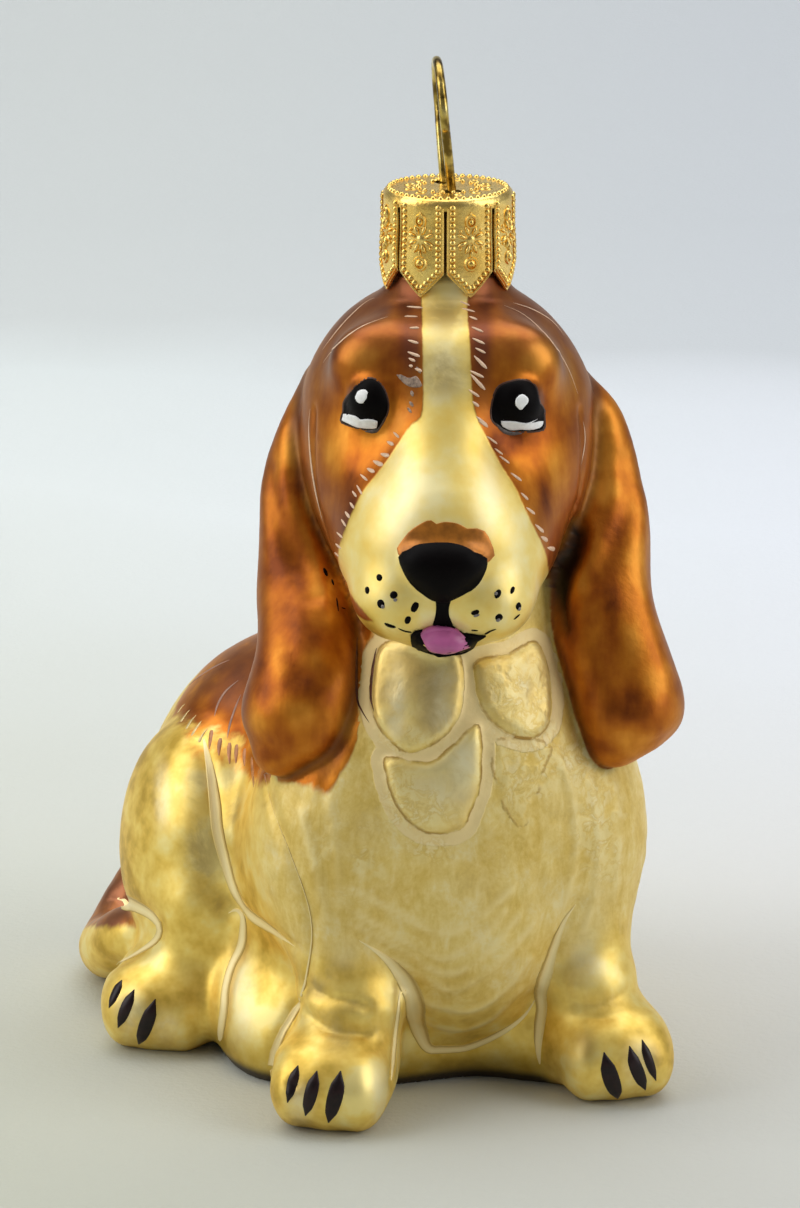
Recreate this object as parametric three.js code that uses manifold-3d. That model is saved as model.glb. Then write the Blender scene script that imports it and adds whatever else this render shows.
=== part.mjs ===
// A blown-glass basset hound ornament, sitting, with a stamped metal cap and a wire hanging loop.
// Millimetres, +Z up. The dog's face looks along -Y, and the floor under its paws is z = 0.
// The chest is turned a little to the dog's left of the face, and the hips further, as the
// moulded figure sits. The glass figure is parted into the forms that a person would name.

import * as THREE from "three";
import { mergeVertices } from "three/addons/utils/BufferGeometryUtils.js";
import Module from "manifold-3d";

const wasm = await Module();
wasm.setup();

// Driving dimensions

const GAP = 0.3; // left between two pieces that touch
const HEAD_TURN = -1.6; // degrees about +Z of the face, the chest and the hips
const CHEST_TURN = 17;
const HIP_TURN = 30;
const CHEST_ORIGIN = [2.5, -12]; // the point on the floor between the forepaws
const HIP_ORIGIN = [-13, 19]; // the point on the floor under the middle of the rump

const CRANIUM_WIDTH = 28.6;
const CRANIUM_HEIGHT = 28;
const CRANIUM_DEPTH = 27;
const CRANIUM_CENTRE_Z = 65.8;
const MUZZLE_WIDTH = 19.4;
const MUZZLE_CENTRE_Z = 55.8;
const MUZZLE_REACH = 22.4; // from the cap's axis to the front of the muzzle
const EYE_SPREAD = 13.8; // between the middles of the two eyes
const EYE_REACH = 12;
const EYE_Z = 70.2;
const EYE_WIDTH = 4.6;
const EYE_HEIGHT = 5.2;
const NOSE_WIDTH = 8.2;
const NOSE_HEIGHT = 5.6;
const MOUTH_Z = 49.2;
const MOUTH_WIDTH = 7.2;
const TONGUE_WIDTH = 5.2;
const EAR_FLATNESS = 0.88; // thickness for its width

const CHEST_WIDTH = 37;
const CHEST_CENTRE_Z = 27;
const RUMP_WIDTH = 35;
const RUMP_HEIGHT = 39;
const THIGH_LENGTH = 28;
const FORELEG_SPREAD = 23.6; // between the middles of the two forelegs
const FOREPAW_SPREAD = 27.4;
const FOREPAW_WIDTH = 11.8;
const FOREPAW_LENGTH = 15.8;
const PAW_HEIGHT = 9.8;
const HIND_FOOT_WIDTH = 11.6;
const HIND_FOOT_LENGTH = 15;
const TAIL_THICKNESS = 6.4;

const CAP_TOP_Z = 88.5;
const CAP_RADIUS = 6.3;
const CAP_TOP_RADIUS = 5.5;
const CAP_WALL = 0.45;
const CAP_HEIGHT = 9.6; // from the top to the points of the tabs
const TAB_COUNT = 8;
const TAB_POINT = 2.3; // height of a tab's pointed end
const SLIT_WIDTH = 0.3;
const SLIT_TOP = 7.7; // height of a slit's end above the points
const CAP_TURN = -2.6; // degrees that the slits are turned about +Z
const NECK_RADIUS = 4.9;
const NECK_BORE = 3.9;
const WIRE_RADIUS = 0.42;
const LOOP_HEIGHT = 12.6; // above the cap
const LOOP_WIDTH = 9.2;
const LOOP_LEG_SPREAD = 4.6;
const LOOP_LEAN = 5; // degrees that the loop leans to the dog's right

// Frames: a place given as left, forward and up of a turned origin

const radians = THREE.MathUtils.degToRad;

function frame([x, y], degrees) {
  const c = Math.cos(radians(degrees));
  const s = Math.sin(radians(degrees));
  return (left, forward, up) =>
    new THREE.Vector3(x + left * c + forward * s, y + left * s - forward * c, up);
}

const onHead = frame([0, 0], HEAD_TURN);
const onChest = frame(CHEST_ORIGIN, CHEST_TURN);
const onHips = frame(HIP_ORIGIN, HIP_TURN);

// Fields: a function of a point that is below zero inside a form and about the distance outside it

// An egg with its radii given left, forward and up, turned about +Z and then leaned about its left axis.
function egg(centre, [left, forward, up], turn = 0, lean = 0) {
  const back = new THREE.Matrix4()
    .makeTranslation(centre.x, centre.y, centre.z)
    .multiply(new THREE.Matrix4().makeRotationZ(radians(turn)))
    .multiply(new THREE.Matrix4().makeRotationX(radians(lean)))
    .invert();
  const q = new THREE.Vector3();
  return (p) => {
    q.copy(p).applyMatrix4(back);
    const once = Math.hypot(q.x / left, q.y / forward, q.z / up);
    const twice = Math.hypot(q.x / left ** 2, q.y / forward ** 2, q.z / up ** 2);
    return twice < 1e-9 ? -Math.min(left, forward, up) : (once * (once - 1)) / twice;
  };
}

// A round limb that tapers from one ball to another.
function limb(a, radiusA, b, radiusB) {
  const along = b.clone().sub(a);
  const q = new THREE.Vector3();
  return (p) => {
    const t = THREE.MathUtils.clamp(q.copy(p).sub(a).dot(along) / along.lengthSq(), 0, 1);
    return q.addScaledVector(along, -t).length() - radiusA - t * (radiusB - radiusA);
  };
}

// Several forms flowed together, with a fillet about as wide as the blend.
function flowed(blend, ...fields) {
  return (p) =>
    fields
      .map((field) => field(p))
      .reduce((a, b) => {
        const h = Math.max(blend - Math.abs(a - b), 0) / blend;
        return Math.min(a, b) - (h * h * blend) / 4;
      });
}

// A soft hollow pressed into a field: a ball of this radius, this deep.
function pressed(field, centre, radius, depth) {
  return (p) => field(p) + depth * Math.exp(-p.distanceToSquared(centre) / radius ** 2);
}

// Geometry

// A geometry with positions only and its shared vertices merged.
function bareMesh(geometry, tolerance = 1e-5) {
  geometry.deleteAttribute("normal");
  geometry.deleteAttribute("uv");
  return mergeVertices(geometry, tolerance);
}

// The closed solid that a field bounds: each point of a sphere is carried out from a line inside
// the form, from foot to top, until it meets the surface, or stands off it by the level.
function wrapped(field, foot, top, detail, level = 0) {
  const merged = bareMesh(new THREE.IcosahedronGeometry(1, detail));
  const at = merged.attributes.position;
  const axis = top.clone().sub(foot);
  const up = axis.length() > 0 ? axis.clone().normalize() : new THREE.Vector3(0, 0, 1);
  const n = new THREE.Vector3();
  const p = new THREE.Vector3();
  for (let i = 0; i < at.count; i++) {
    n.fromBufferAttribute(at, i).normalize();
    const start = foot.clone().addScaledVector(axis, (n.dot(up) + 1) / 2);
    let inside = 0;
    let outside = 0.5;
    while (outside < 60 && field(p.copy(start).addScaledVector(n, outside)) < level) {
      inside = outside;
      outside += 0.5;
    }
    for (let k = 0; k < 14; k++) {
      const middle = (inside + outside) / 2;
      if (field(p.copy(start).addScaledVector(n, middle)) < level) inside = middle;
      else outside = middle;
    }
    p.copy(start).addScaledVector(n, inside);
    at.setXYZ(i, p.x, p.y, p.z);
  }
  return merged;
}

// The radius of a ball's end at a share of its depth, and 1 past it.
const roundEnd = (share) => Math.sqrt(1 - Math.max(0, 1 - share) ** 2);

// A lobe swept along a curve: a sphere's rings are laid across the curve, wide along a side
// direction and thin the other way, with sizes given as functions of the share of its length.
// The start and the end are rounded off over a share of the length each.
function lobe(points, side, halfWidth, halfThickness, ends, rings, around, level = 0) {
  const curve = new THREE.CatmullRomCurve3(points.map((p) => new THREE.Vector3(...p)));
  const merged = bareMesh(new THREE.SphereGeometry(1, around, rings));
  const at = merged.attributes.position;
  const p = new THREE.Vector3();
  for (let i = 0; i < at.count; i++) {
    p.fromBufferAttribute(at, i);
    const t = THREE.MathUtils.clamp((1 - p.y) / 2, 0, 1);
    const tangent = curve.getTangent(t);
    const across = side.clone().addScaledVector(tangent, -side.dot(tangent)).normalize();
    const thick = new THREE.Vector3().crossVectors(tangent, across);
    const rounding = roundEnd(t / ends[0]) * roundEnd((1 - t) / ends[1]);
    const turn = Math.atan2(p.z, p.x);
    const pole = Math.hypot(p.x, p.z) < 1e-6;
    const wide = pole ? 0 : halfWidth(t) * rounding + level;
    const thin = pole ? 0 : halfThickness(t, turn) * rounding + level;
    p.copy(curve.getPoint(t))
      .addScaledVector(across, Math.cos(turn) * wide)
      .addScaledVector(thick, Math.sin(turn) * thin)
      .addScaledVector(tangent, (2 * t - 1) * level);
    at.setXYZ(i, p.x, p.y, p.z);
  }
  return merged;
}

// The solid of a closed geometry, with its faces turned to point out.
function solid(geometry) {
  const merged = bareMesh(geometry.clone(), 1e-4);
  const vertProperties = new Float32Array(merged.attributes.position.array);
  const triVerts = new Uint32Array(merged.index.array);
  const made = new wasm.Manifold(new wasm.Mesh({ numProp: 3, vertProperties, triVerts }));
  if (made.volume() > 0) return made;
  for (let i = 0; i < triVerts.length; i += 3) {
    const first = triVerts[i + 1];
    triVerts[i + 1] = triVerts[i + 2];
    triVerts[i + 2] = first;
  }
  return new wasm.Manifold(new wasm.Mesh({ numProp: 3, vertProperties, triVerts }));
}

const largest = (made) => made.decompose().sort((a, b) => b.volume() - a.volume())[0];

function geometryOf(made) {
  const { vertProperties, triVerts, numProp, numVert } = made.getMesh();
  const positions = new Float32Array(numVert * 3);
  for (let i = 0; i < numVert; i++) {
    positions.set(vertProperties.subarray(i * numProp, i * numProp + 3), i * 3);
  }
  const geometry = new THREE.BufferGeometry();
  geometry.setAttribute("position", new THREE.BufferAttribute(positions, 3));
  geometry.setIndex(new THREE.BufferAttribute(triVerts, 1));
  geometry.computeVertexNormals();
  return geometry;
}

// The moulded forms. Each gives its solid at a level: 0 for the form, GAP for the room round it.

const both = (make) => [make(-1), make(1)];

const headField = (() => {
  const cranium = egg(
    onHead(0, 0.5, CRANIUM_CENTRE_Z),
    [CRANIUM_WIDTH / 2, CRANIUM_DEPTH / 2, CRANIUM_HEIGHT / 2],
    HEAD_TURN,
  );
  const cheeks = egg(onHead(0, 5.5, 58), [11, 11, 10.5], HEAD_TURN);
  const bridge = limb(onHead(0, 8, 70), 5.4, onHead(0, 14.6, 60), 6.2);
  const muzzle = egg(
    onHead(0, MUZZLE_REACH - 9.4, MUZZLE_CENTRE_Z),
    [MUZZLE_WIDTH / 2, 9.4, 8.2],
    HEAD_TURN,
  );
  const flews = both((s) => egg(onHead(s * 4.3, 16.8, 52.4), [5.4, 5.6, 4.6], HEAD_TURN));
  const chin = egg(onHead(0, 15, 49.6), [4.6, 5, 2.8], HEAD_TURN);
  const brows = both((s) => egg(onHead(s * 6.2, 9, 73.6), [4.4, 2.8, 3.2], HEAD_TURN));
  const sockets = flowed(4, flowed(7, cranium, cheeks), flowed(4, bridge, muzzle, ...brows));
  let field = flowed(1.6, sockets, ...flews, chin);
  for (const s of [-1, 1]) field = pressed(field, onHead(s * 5.4, 14, 66.5), 3.2, 0.8);
  return field;
})();
const head = (level) => solid(wrapped(headField, onHead(0, 2, 62), onHead(0, 2, 66), 7, level));

function neck(level) {
  const foot = 76;
  const top = CAP_TOP_Z - CAP_WALL - GAP;
  const plain = [
    [0, foot],
    [NECK_RADIUS + level, foot],
    [NECK_RADIUS + level, top],
  ];
  const bore = [
    [NECK_BORE, top],
    [NECK_BORE, top - 8],
    [0, top - 9],
  ];
  const profile = [...plain, ...(level ? [[0, top]] : bore)].map(([r, z]) => new THREE.Vector2(r, z));
  return solid(new THREE.LatheGeometry(profile, 24).rotateX(Math.PI / 2));
}

const eye = (s) => (level) =>
  solid(
    new THREE.SphereGeometry(1, 12, 8)
      .scale(EYE_WIDTH / 2 + level, 1.9 + level, EYE_HEIGHT / 2 + level)
      .rotateZ(radians(HEAD_TURN + s * 24))
      .translate(...onHead((s * EYE_SPREAD) / 2, EYE_REACH, EYE_Z).toArray()),
  );

// The nose is a wide pad over a narrower one, so that it tapers to the lip.
function nose(level) {
  const wide = NOSE_WIDTH / 4;
  const reach = MUZZLE_REACH - 0.8;
  const field = flowed(
    2,
    ...both((s) => egg(onHead(s * wide * 0.9, reach, MUZZLE_CENTRE_Z + 1.4), [wide, 1.8, 1.7], HEAD_TURN)),
    egg(onHead(0, reach + 0.1, MUZZLE_CENTRE_Z + 0.3), [wide, 1.7, NOSE_HEIGHT / 2 - 0.3], HEAD_TURN),
  );
  const middle = onHead(0, reach, MUZZLE_CENTRE_Z + 0.9);
  return solid(wrapped(field, middle, middle, 3, level));
}

const pad = (place, radii, lean) => (level) =>
  solid(wrapped(egg(place, radii, HEAD_TURN, lean), place, place, 2, level));
const mouth = pad(onHead(0.2, MUZZLE_REACH - 3.4, MOUTH_Z), [MOUTH_WIDTH / 2, 2.4, 1.5], 20);
const tongue = pad(onHead(0.2, MUZZLE_REACH - 2.6, MOUTH_Z + 0.2), [TONGUE_WIDTH / 2, 2.2, 1], 20);

// The ears hang from the sides of the cranium and swing outwards at their blunt ends, the left
// one more than the right. Each knot gives a place and half the ear's width there.
const EARS = {
  right: [
    [-11.3, 3, 70.4, 2.2],
    [-13.6, 1.2, 65.1, 2.4],
    [-14.8, -0.2, 60.4, 2.9],
    [-14.9, -1.8, 54.8, 3.5],
    [-14.3, -3.4, 50.2, 4.2],
    [-13.6, -7.2, 46.7, 4.7],
    [-13.8, -10, 43, 5],
    [-14.8, -11.9, 39.1, 5.1],
    [-15.8, -13.2, 34.2, 4.8],
  ],
  left: [
    [11.2, 3, 70.4, 2.2],
    [14.5, 1.2, 65.1, 2.4],
    [15.7, -0.2, 60.4, 3],
    [15.4, -1.8, 54.8, 4.2],
    [14.8, -3.4, 51, 5],
    [15.3, -4.9, 46.8, 5.05],
    [16.6, -6.2, 42.8, 5.15],
    [17.9, -7.6, 38.6, 5.2],
    [19.2, -9, 34.4, 5],
  ],
};
const ear = (which) => (level) => {
  const knots = EARS[which];
  const side = which === "left" ? new THREE.Vector3(-1, -0.4, 0) : new THREE.Vector3(1, -0.6, 0);
  const halfWidth = (t) => {
    const along = t * (knots.length - 1);
    const k = Math.min(Math.floor(along), knots.length - 2);
    return THREE.MathUtils.lerp(knots[k][3], knots[k + 1][3], along - k);
  };
  const halfThickness = (t, turn) =>
    EAR_FLATNESS * halfWidth(t) * (1 - 0.12 * Math.cos(3 * turn) * Math.sin(Math.PI * t));
  const places = knots.map(([x, y, z]) => [x, y, z]);
  return solid(lobe(places, side, halfWidth, halfThickness, [0.12, 0.15], 16, 14, level));
};

const torsoField = (() => {
  const between = (CHEST_TURN + HIP_TURN) / 2;
  return flowed(
    5,
    egg(onChest(0, -8.5, CHEST_CENTRE_Z), [CHEST_WIDTH / 2, 13, 19], CHEST_TURN),
    egg(onChest(0, -5.5, 16), [9.5, 9, 11], CHEST_TURN),
    ...both((s) => egg(onChest(s * 11.5, -7.5, 24), [7.5, 8.5, 11], CHEST_TURN)),
    limb(onChest(0, -9, 36), 12, new THREE.Vector3(0, 0.5, 52), 11),
    egg(new THREE.Vector3(-8, 6, 18), [15, 17, 18], between),
    egg(new THREE.Vector3(-10, 5, 6.5), [14.5, 14, 7.5], between),
    egg(onHips(-1, -1, RUMP_HEIGHT / 2 - 0.5), [RUMP_WIDTH / 2, 15, RUMP_HEIGHT / 2], HIP_TURN),
    // the foot of the glass, between the four paws
    ...both((s) => egg(onHips(s * 7.5, 17.5, 3), [12, 11, 7], HIP_TURN)),
    egg(new THREE.Vector3(2, 1.6, 3.8), [14, 9.5, 5.2], CHEST_TURN),
    egg(new THREE.Vector3(9.8, -2.6, 3.8), [6.2, 8.2, 5.2], CHEST_TURN),
    limb(new THREE.Vector3(-2, 6, 45), 9.5, onHips(0, 1, 26), 10),
  );
})();
const torso = (level) =>
  solid(wrapped(torsoField, new THREE.Vector3(-6, 5, 17), new THREE.Vector3(-3, 2, 40), 7, level));

const foreleg = (s) => (level) => {
  const shoulder = onChest(s * 12, -5.5, 23);
  const wrist = onChest((s * FORELEG_SPREAD) / 2, -1.4, 9);
  const cuff = egg(onChest((s * FORELEG_SPREAD) / 2, -1, 11), [4.9, 4.8, 2.6], CHEST_TURN);
  return solid(wrapped(flowed(2, limb(shoulder, 6.4, wrist, 4.6), cuff), wrist, shoulder, 4, level));
};

// A paw: a low egg with three toes over its front.
function paw(place, turn, width, length) {
  const onPaw = frame([place.x, place.y], turn);
  const toes = [-1, 0, 1].map((k) =>
    egg(
      onPaw(k * width * 0.27, length * 0.27, place.z - 0.7),
      [width * 0.2, length * 0.25, PAW_HEIGHT * 0.38],
      turn,
    ),
  );
  const field = flowed(1.5, egg(place, [width / 2, length / 2, PAW_HEIGHT / 2], turn, -6), ...toes);
  return (level) => solid(wrapped(field, place, place, 4, level));
}
const PAW_CENTRE_Z = PAW_HEIGHT / 2 - 0.35; // the sole is cut flat by the floor
const forepaw = (s) =>
  paw(onChest((s * FOREPAW_SPREAD) / 2, -0.2, PAW_CENTRE_Z), 2 + s * 12, FOREPAW_WIDTH, FOREPAW_LENGTH);
const hindFoot = (s) =>
  paw(onHips(s * 19.8, 3.9, PAW_CENTRE_Z), HIP_TURN + s * 42, HIND_FOOT_WIDTH, HIND_FOOT_LENGTH);

const thigh = (s) => (level) => {
  const haunch = egg(onHips(s * 15, 2, 17.5), [7.2, 10.5, THIGH_LENGTH / 2], HIP_TURN);
  const shin = limb(onHips(s * 16.8, 7, 14), 4.8, onHips(s * 17.6, 6.5, 6), 4.6);
  return solid(wrapped(flowed(3, haunch, shin), onHips(s * 16, 5, 11), onHips(s * 15, 2, 18), 4, level));
};

// The tail comes round from behind the rump, and its blunt end lies against the right hind foot.
const tail = (level) => {
  const points = [
    [-21, 31, 16],
    [-30, 31.5, 9],
    [-34.5, 25, 3],
    [-34.4, 18.5, 4.6],
    [-32.2, 13.6, 7.6],
    [-27.4, 10.6, 9.4],
  ];
  const radius = () => TAIL_THICKNESS / 2;
  return solid(lobe(points, new THREE.Vector3(0, 0, 1), radius, radius, [0.1, 0.09], 18, 12, level));
};

// Round bosses down the middle of each tab: height above its point, and radius
const BOSSES = [
  [7.4, 0.55],
  [5.4, 0.8],
  [3.4, 0.55],
];

// The metal cap: a shell with a rounded shoulder, slit into
// tabs with pointed ends, with stamped relief.
function cap() {
  const bottom = CAP_TOP_Z - CAP_HEIGHT;
  const shoulder = CAP_TOP_Z - 0.9;
  const inner = CAP_RADIUS - CAP_WALL;
  const profile = [
    [0, CAP_TOP_Z],
    [CAP_TOP_RADIUS, CAP_TOP_Z],
    [CAP_TOP_RADIUS + 0.7, CAP_TOP_Z - 0.35],
    [CAP_RADIUS, shoulder],
    [CAP_RADIUS, bottom],
    [inner, bottom],
    [inner, shoulder - 0.1],
    [CAP_TOP_RADIUS + 0.2, CAP_TOP_Z - CAP_WALL],
    [0, CAP_TOP_Z - CAP_WALL],
  ].map(([r, z]) => new THREE.Vector2(r, z));
  const shell = solid(new THREE.LatheGeometry(profile, 32).rotateX(Math.PI / 2));

  const tabHalf = Math.PI / TAB_COUNT;
  const cuts = [];
  const relief = [];
  for (let i = 0; i < TAB_COUNT; i++) {
    const slit = i * 2 * tabHalf - Math.PI / 2 + radians(CAP_TURN);
    const notch = new THREE.Shape();
    const halfNotch = CAP_RADIUS * Math.tan(tabHalf);
    notch.moveTo(-SLIT_WIDTH / 2, SLIT_TOP);
    notch.lineTo(-SLIT_WIDTH / 2, TAB_POINT);
    notch.lineTo(-halfNotch, -0.02);
    notch.lineTo(-halfNotch, -1);
    notch.lineTo(halfNotch, -1);
    notch.lineTo(halfNotch, -0.02);
    notch.lineTo(SLIT_WIDTH / 2, TAB_POINT);
    notch.lineTo(SLIT_WIDTH / 2, SLIT_TOP);
    const cutter = new THREE.ExtrudeGeometry(notch, { depth: 3, bevelEnabled: false });
    // The notch is drawn upright in the plane that faces outwards along the slit.
    cutter.rotateX(Math.PI / 2).rotateZ(Math.PI).translate(0, CAP_RADIUS - 1.5, 0);
    cuts.push(solid(cutter.rotateZ(slit - Math.PI / 2).translate(0, 0, bottom)));

    const middle = slit + tabHalf;
    const ribLength = CAP_HEIGHT - TAB_POINT - 2;
    for (const side of [-1, 1]) {
      const rib = new THREE.CylinderGeometry(0.24, 0.24, ribLength, 4).rotateX(Math.PI / 2);
      rib.translate(CAP_RADIUS + 0.02, 0, bottom + TAB_POINT + ribLength / 2);
      relief.push(rib.rotateZ(middle + side * tabHalf * 0.72));
    }
    for (const [up, r] of BOSSES) {
      const boss = new THREE.CylinderGeometry(r * 0.6, r, 0.7, 7).rotateZ(-Math.PI / 2);
      relief.push(boss.translate(CAP_RADIUS, 0, bottom + up).rotateZ(middle));
    }
  }
  const rimBeads = 24;
  for (let i = 0; i < rimBeads; i++)
    relief.push(
      new THREE.OctahedronGeometry(0.42, 0)
        .translate(CAP_TOP_RADIUS - 0.1, 0, CAP_TOP_Z + 0.02)
        .rotateZ((i / rimBeads) * 2 * Math.PI),
    );
  const rosette = 8;
  for (let i = 0; i < rosette; i++)
    relief.push(
      new THREE.OctahedronGeometry(1, 0)
        .scale(0.9, 0.34, 0.24)
        .translate(3.5, 0, CAP_TOP_Z + 0.02)
        .rotateZ(((i + 0.5) / rosette) * 2 * Math.PI),
    );
  let made = wasm.Manifold.union([shell, ...relief.map((g) => solid(g))]);
  for (const cut of cuts) made = made.subtract(cut);
  for (const s of [-1, 1]) {
    const radius = WIRE_RADIUS + GAP;
    const hole = new THREE.CylinderGeometry(radius, radius, 4, 12).rotateX(Math.PI / 2);
    made = made.subtract(solid(hole.translate(0, (s * LOOP_LEG_SPREAD) / 2, CAP_TOP_Z)));
  }
  return made;
}

// The wire: a round loop above the cap, and two legs that spring apart inside the glass neck.
function hangingLoop() {
  const z = CAP_TOP_Z;
  const leg = LOOP_LEG_SPREAD / 2;
  const radius = LOOP_WIDTH / 2 - WIRE_RADIUS;
  const middle = z + LOOP_HEIGHT - WIRE_RADIUS - radius;
  const legs = (s) => [
    [s * 3.1, z - 7],
    [s * 2.7, z - 3.5],
    [s * leg, z - 0.6],
    [s * leg, z + 0.6],
  ];
  const arc = Array.from({ length: 10 }, (_, i) => {
    const a = radians(-35 + (i / 9) * 250);
    return [radius * Math.cos(a), middle + radius * Math.sin(a)];
  });
  const lean = Math.tan(radians(LOOP_LEAN));
  const path = [...legs(1), ...arc, ...legs(-1).reverse()].map(
    ([y, up]) => new THREE.Vector3(-Math.max(0, up - z) * lean, y, up),
  );
  const section = new THREE.Shape();
  section.absarc(0, 0, WIRE_RADIUS, 0, 2 * Math.PI);
  const extrudePath = new THREE.CatmullRomCurve3(path);
  return solid(new THREE.ExtrudeGeometry(section, { steps: 48, curveSegments: 4, extrudePath }));
}

// Parting: each form is cut by the room round those that lie over it

const floor = solid(new THREE.BoxGeometry(200, 200, 20).translate(0, 0, -10));

const forms = {
  head,
  neck,
  eye_right: eye(-1),
  eye_left: eye(1),
  nose,
  mouth,
  tongue,
  ear_right: ear("right"),
  ear_left: ear("left"),
  torso,
  foreleg_right: foreleg(-1),
  foreleg_left: foreleg(1),
  forepaw_right: forepaw(-1),
  forepaw_left: forepaw(1),
  thigh_right: thigh(-1),
  thigh_left: thigh(1),
  hind_foot_right: hindFoot(-1),
  hind_foot_left: hindFoot(1),
  tail,
};

const cutBy = {
  head: ["eye_right", "eye_left", "nose", "mouth", "tongue", "ear_right", "ear_left", "neck"],
  mouth: ["tongue"],
  torso: [
    "head",
    "ear_right",
    "ear_left",
    "foreleg_right",
    "foreleg_left",
    "forepaw_right",
    "forepaw_left",
    "thigh_right",
    "thigh_left",
    "hind_foot_right",
    "hind_foot_left",
    "tail",
  ],
  foreleg_right: ["forepaw_right", "ear_right"],
  foreleg_left: ["forepaw_left", "ear_left"],
  thigh_right: ["hind_foot_right", "tail"],
  thigh_left: ["hind_foot_left"],
  hind_foot_right: ["tail"],
};

function parted(name) {
  let made = forms[name](0);
  for (const over of cutBy[name] ?? []) made = made.subtract(forms[over](GAP));
  return largest(made.subtract(floor));
}

// Finishes, as the photographed ornament is painted over its silvering

function finish(color, roughness, metalness) {
  return new THREE.MeshStandardMaterial({ color, roughness, metalness });
}
const amber = finish(0xa2581c, 0.28, 0.7);
const pearlGold = finish(0xd9c069, 0.34, 0.75);
const black = finish(0x0b0909, 0.3, 0);
const pink = finish(0xb0579c, 0.4, 0);
const silveredGlass = finish(0xc9c3a8, 0.15, 0.3);
const stampedGold = finish(0xd8a648, 0.3, 1);
const brassWire = finish(0xb99a3e, 0.25, 1);

const finishes = {
  head: amber,
  neck: silveredGlass,
  eye_right: black,
  eye_left: black,
  nose: black,
  mouth: black,
  tongue: pink,
  ear_right: amber,
  ear_left: amber,
  tail: amber,
};

const ornament = new THREE.Group();

function add(name, made, material) {
  const mesh = new THREE.Mesh(geometryOf(made), material);
  mesh.name = name;
  ornament.add(mesh);
}

for (const name of Object.keys(forms)) add(name, parted(name), finishes[name] ?? pearlGold);
add("cap", largest(cap()), stampedGold);
add("hanging_loop", largest(hangingLoop()), brassWire);

// The origin is on the floor under the middle of the ornament's box
const box = new THREE.Box3().setFromObject(ornament);
const middle = box.getCenter(new THREE.Vector3());
ornament.position.set(-middle.x, -middle.y, 0);

export default ornament;
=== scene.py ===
# A blown, silvered and painted glass basset hound with a stamped gold cap and a wire loop, on a
# pale table in soft studio light. Pieces are modelled in millimetres round the cap's axis, with
# the face looking along -Y, and brought to the frame's metres when they are finished.

import math

import bpy
import numpy as np
from mathutils import Matrix, Vector, noise
from mathutils.bvhtree import BVHTree


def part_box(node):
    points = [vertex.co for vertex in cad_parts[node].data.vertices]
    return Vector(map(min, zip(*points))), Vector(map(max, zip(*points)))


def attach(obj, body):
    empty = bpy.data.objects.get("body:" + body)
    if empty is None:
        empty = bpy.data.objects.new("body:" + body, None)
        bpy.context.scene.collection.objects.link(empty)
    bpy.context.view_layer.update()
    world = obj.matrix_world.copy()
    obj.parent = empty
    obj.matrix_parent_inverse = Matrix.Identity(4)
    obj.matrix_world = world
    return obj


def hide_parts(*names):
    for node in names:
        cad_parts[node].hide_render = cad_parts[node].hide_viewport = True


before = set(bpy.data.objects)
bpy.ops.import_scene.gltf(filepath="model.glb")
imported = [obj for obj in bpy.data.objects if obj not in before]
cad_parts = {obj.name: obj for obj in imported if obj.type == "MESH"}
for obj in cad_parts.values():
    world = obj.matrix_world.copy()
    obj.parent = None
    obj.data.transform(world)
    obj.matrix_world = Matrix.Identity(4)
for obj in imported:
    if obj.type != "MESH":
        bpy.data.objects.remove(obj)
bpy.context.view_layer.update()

MM = 0.001
cap_low, cap_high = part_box("cap")
AXIS = (cap_low + cap_high) / 2 / MM
TO_FRAME = Matrix.Scale(MM, 4) @ Matrix.Translation((AXIS.x, AXIS.y, 0))

# The camera stands where the photograph was taken from

PHOTO_WIDTH, PHOTO_HEIGHT = 800, 1208
FOCAL = 5300.0  # in pixels of the photograph
PIXELS_PER_MM = 10.4  # at the front of the figure
CAMERA_PLACE = np.array([-4.6, -500.0, 190.2])
PITCH = math.radians(16)
FIGURE_FROM_CAMERA = 505  # mm
SENSOR = 36


def photo_camera():
    place = TO_FRAME @ Vector(CAMERA_PLACE)
    bpy.ops.object.camera_add(location=place, rotation=(math.pi / 2 - PITCH, 0, 0))
    camera = bpy.context.object
    camera.name = "camera"
    camera.data.sensor_width = SENSOR
    camera.data.lens = FOCAL * SENSOR / PHOTO_HEIGHT
    camera.data.clip_start = 0.01
    camera.data.clip_end = 20
    bpy.context.scene.camera = camera


def photo_pixels(points):
    """Where points fall in the photograph."""
    seen = points - CAMERA_PLACE
    ahead = math.cos(PITCH) * seen[:, 1] - math.sin(PITCH) * seen[:, 2]
    up = math.sin(PITCH) * seen[:, 1] + math.cos(PITCH) * seen[:, 2]
    across, down = FOCAL * seen[:, 0] / ahead, -FOCAL * up / ahead
    return np.column_stack((PHOTO_WIDTH / 2 + across, PHOTO_HEIGHT / 2 + down))


def sight_line(u, v):
    """The direction in which the camera sees a pixel of the photograph."""
    right = (u - PHOTO_WIDTH / 2) / FOCAL
    up = (PHOTO_HEIGHT / 2 - v) / FOCAL
    ahead = math.cos(PITCH) + up * math.sin(PITCH)
    return Vector((right, ahead, -math.sin(PITCH) + up * math.cos(PITCH))).normalized()


# Meshes

def points_of(mesh):
    flat = np.empty(len(mesh.vertices) * 3, np.float32)
    mesh.vertices.foreach_get("co", flat)
    return flat.reshape(-1, 3).astype(float)


def place_points(mesh, points):
    mesh.vertices.foreach_set("co", points.astype(np.float32).ravel())
    mesh.update()


def normals_of(mesh):
    flat = np.empty(len(mesh.vertices) * 3, np.float32)
    mesh.vertex_normals.foreach_get("vector", flat)
    return flat.reshape(-1, 3).astype(float)


def select_only(pieces):
    bpy.ops.object.select_all(action="DESELECT")
    for piece in pieces:
        piece.select_set(True)
    bpy.context.view_layer.objects.active = pieces[0]


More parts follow.
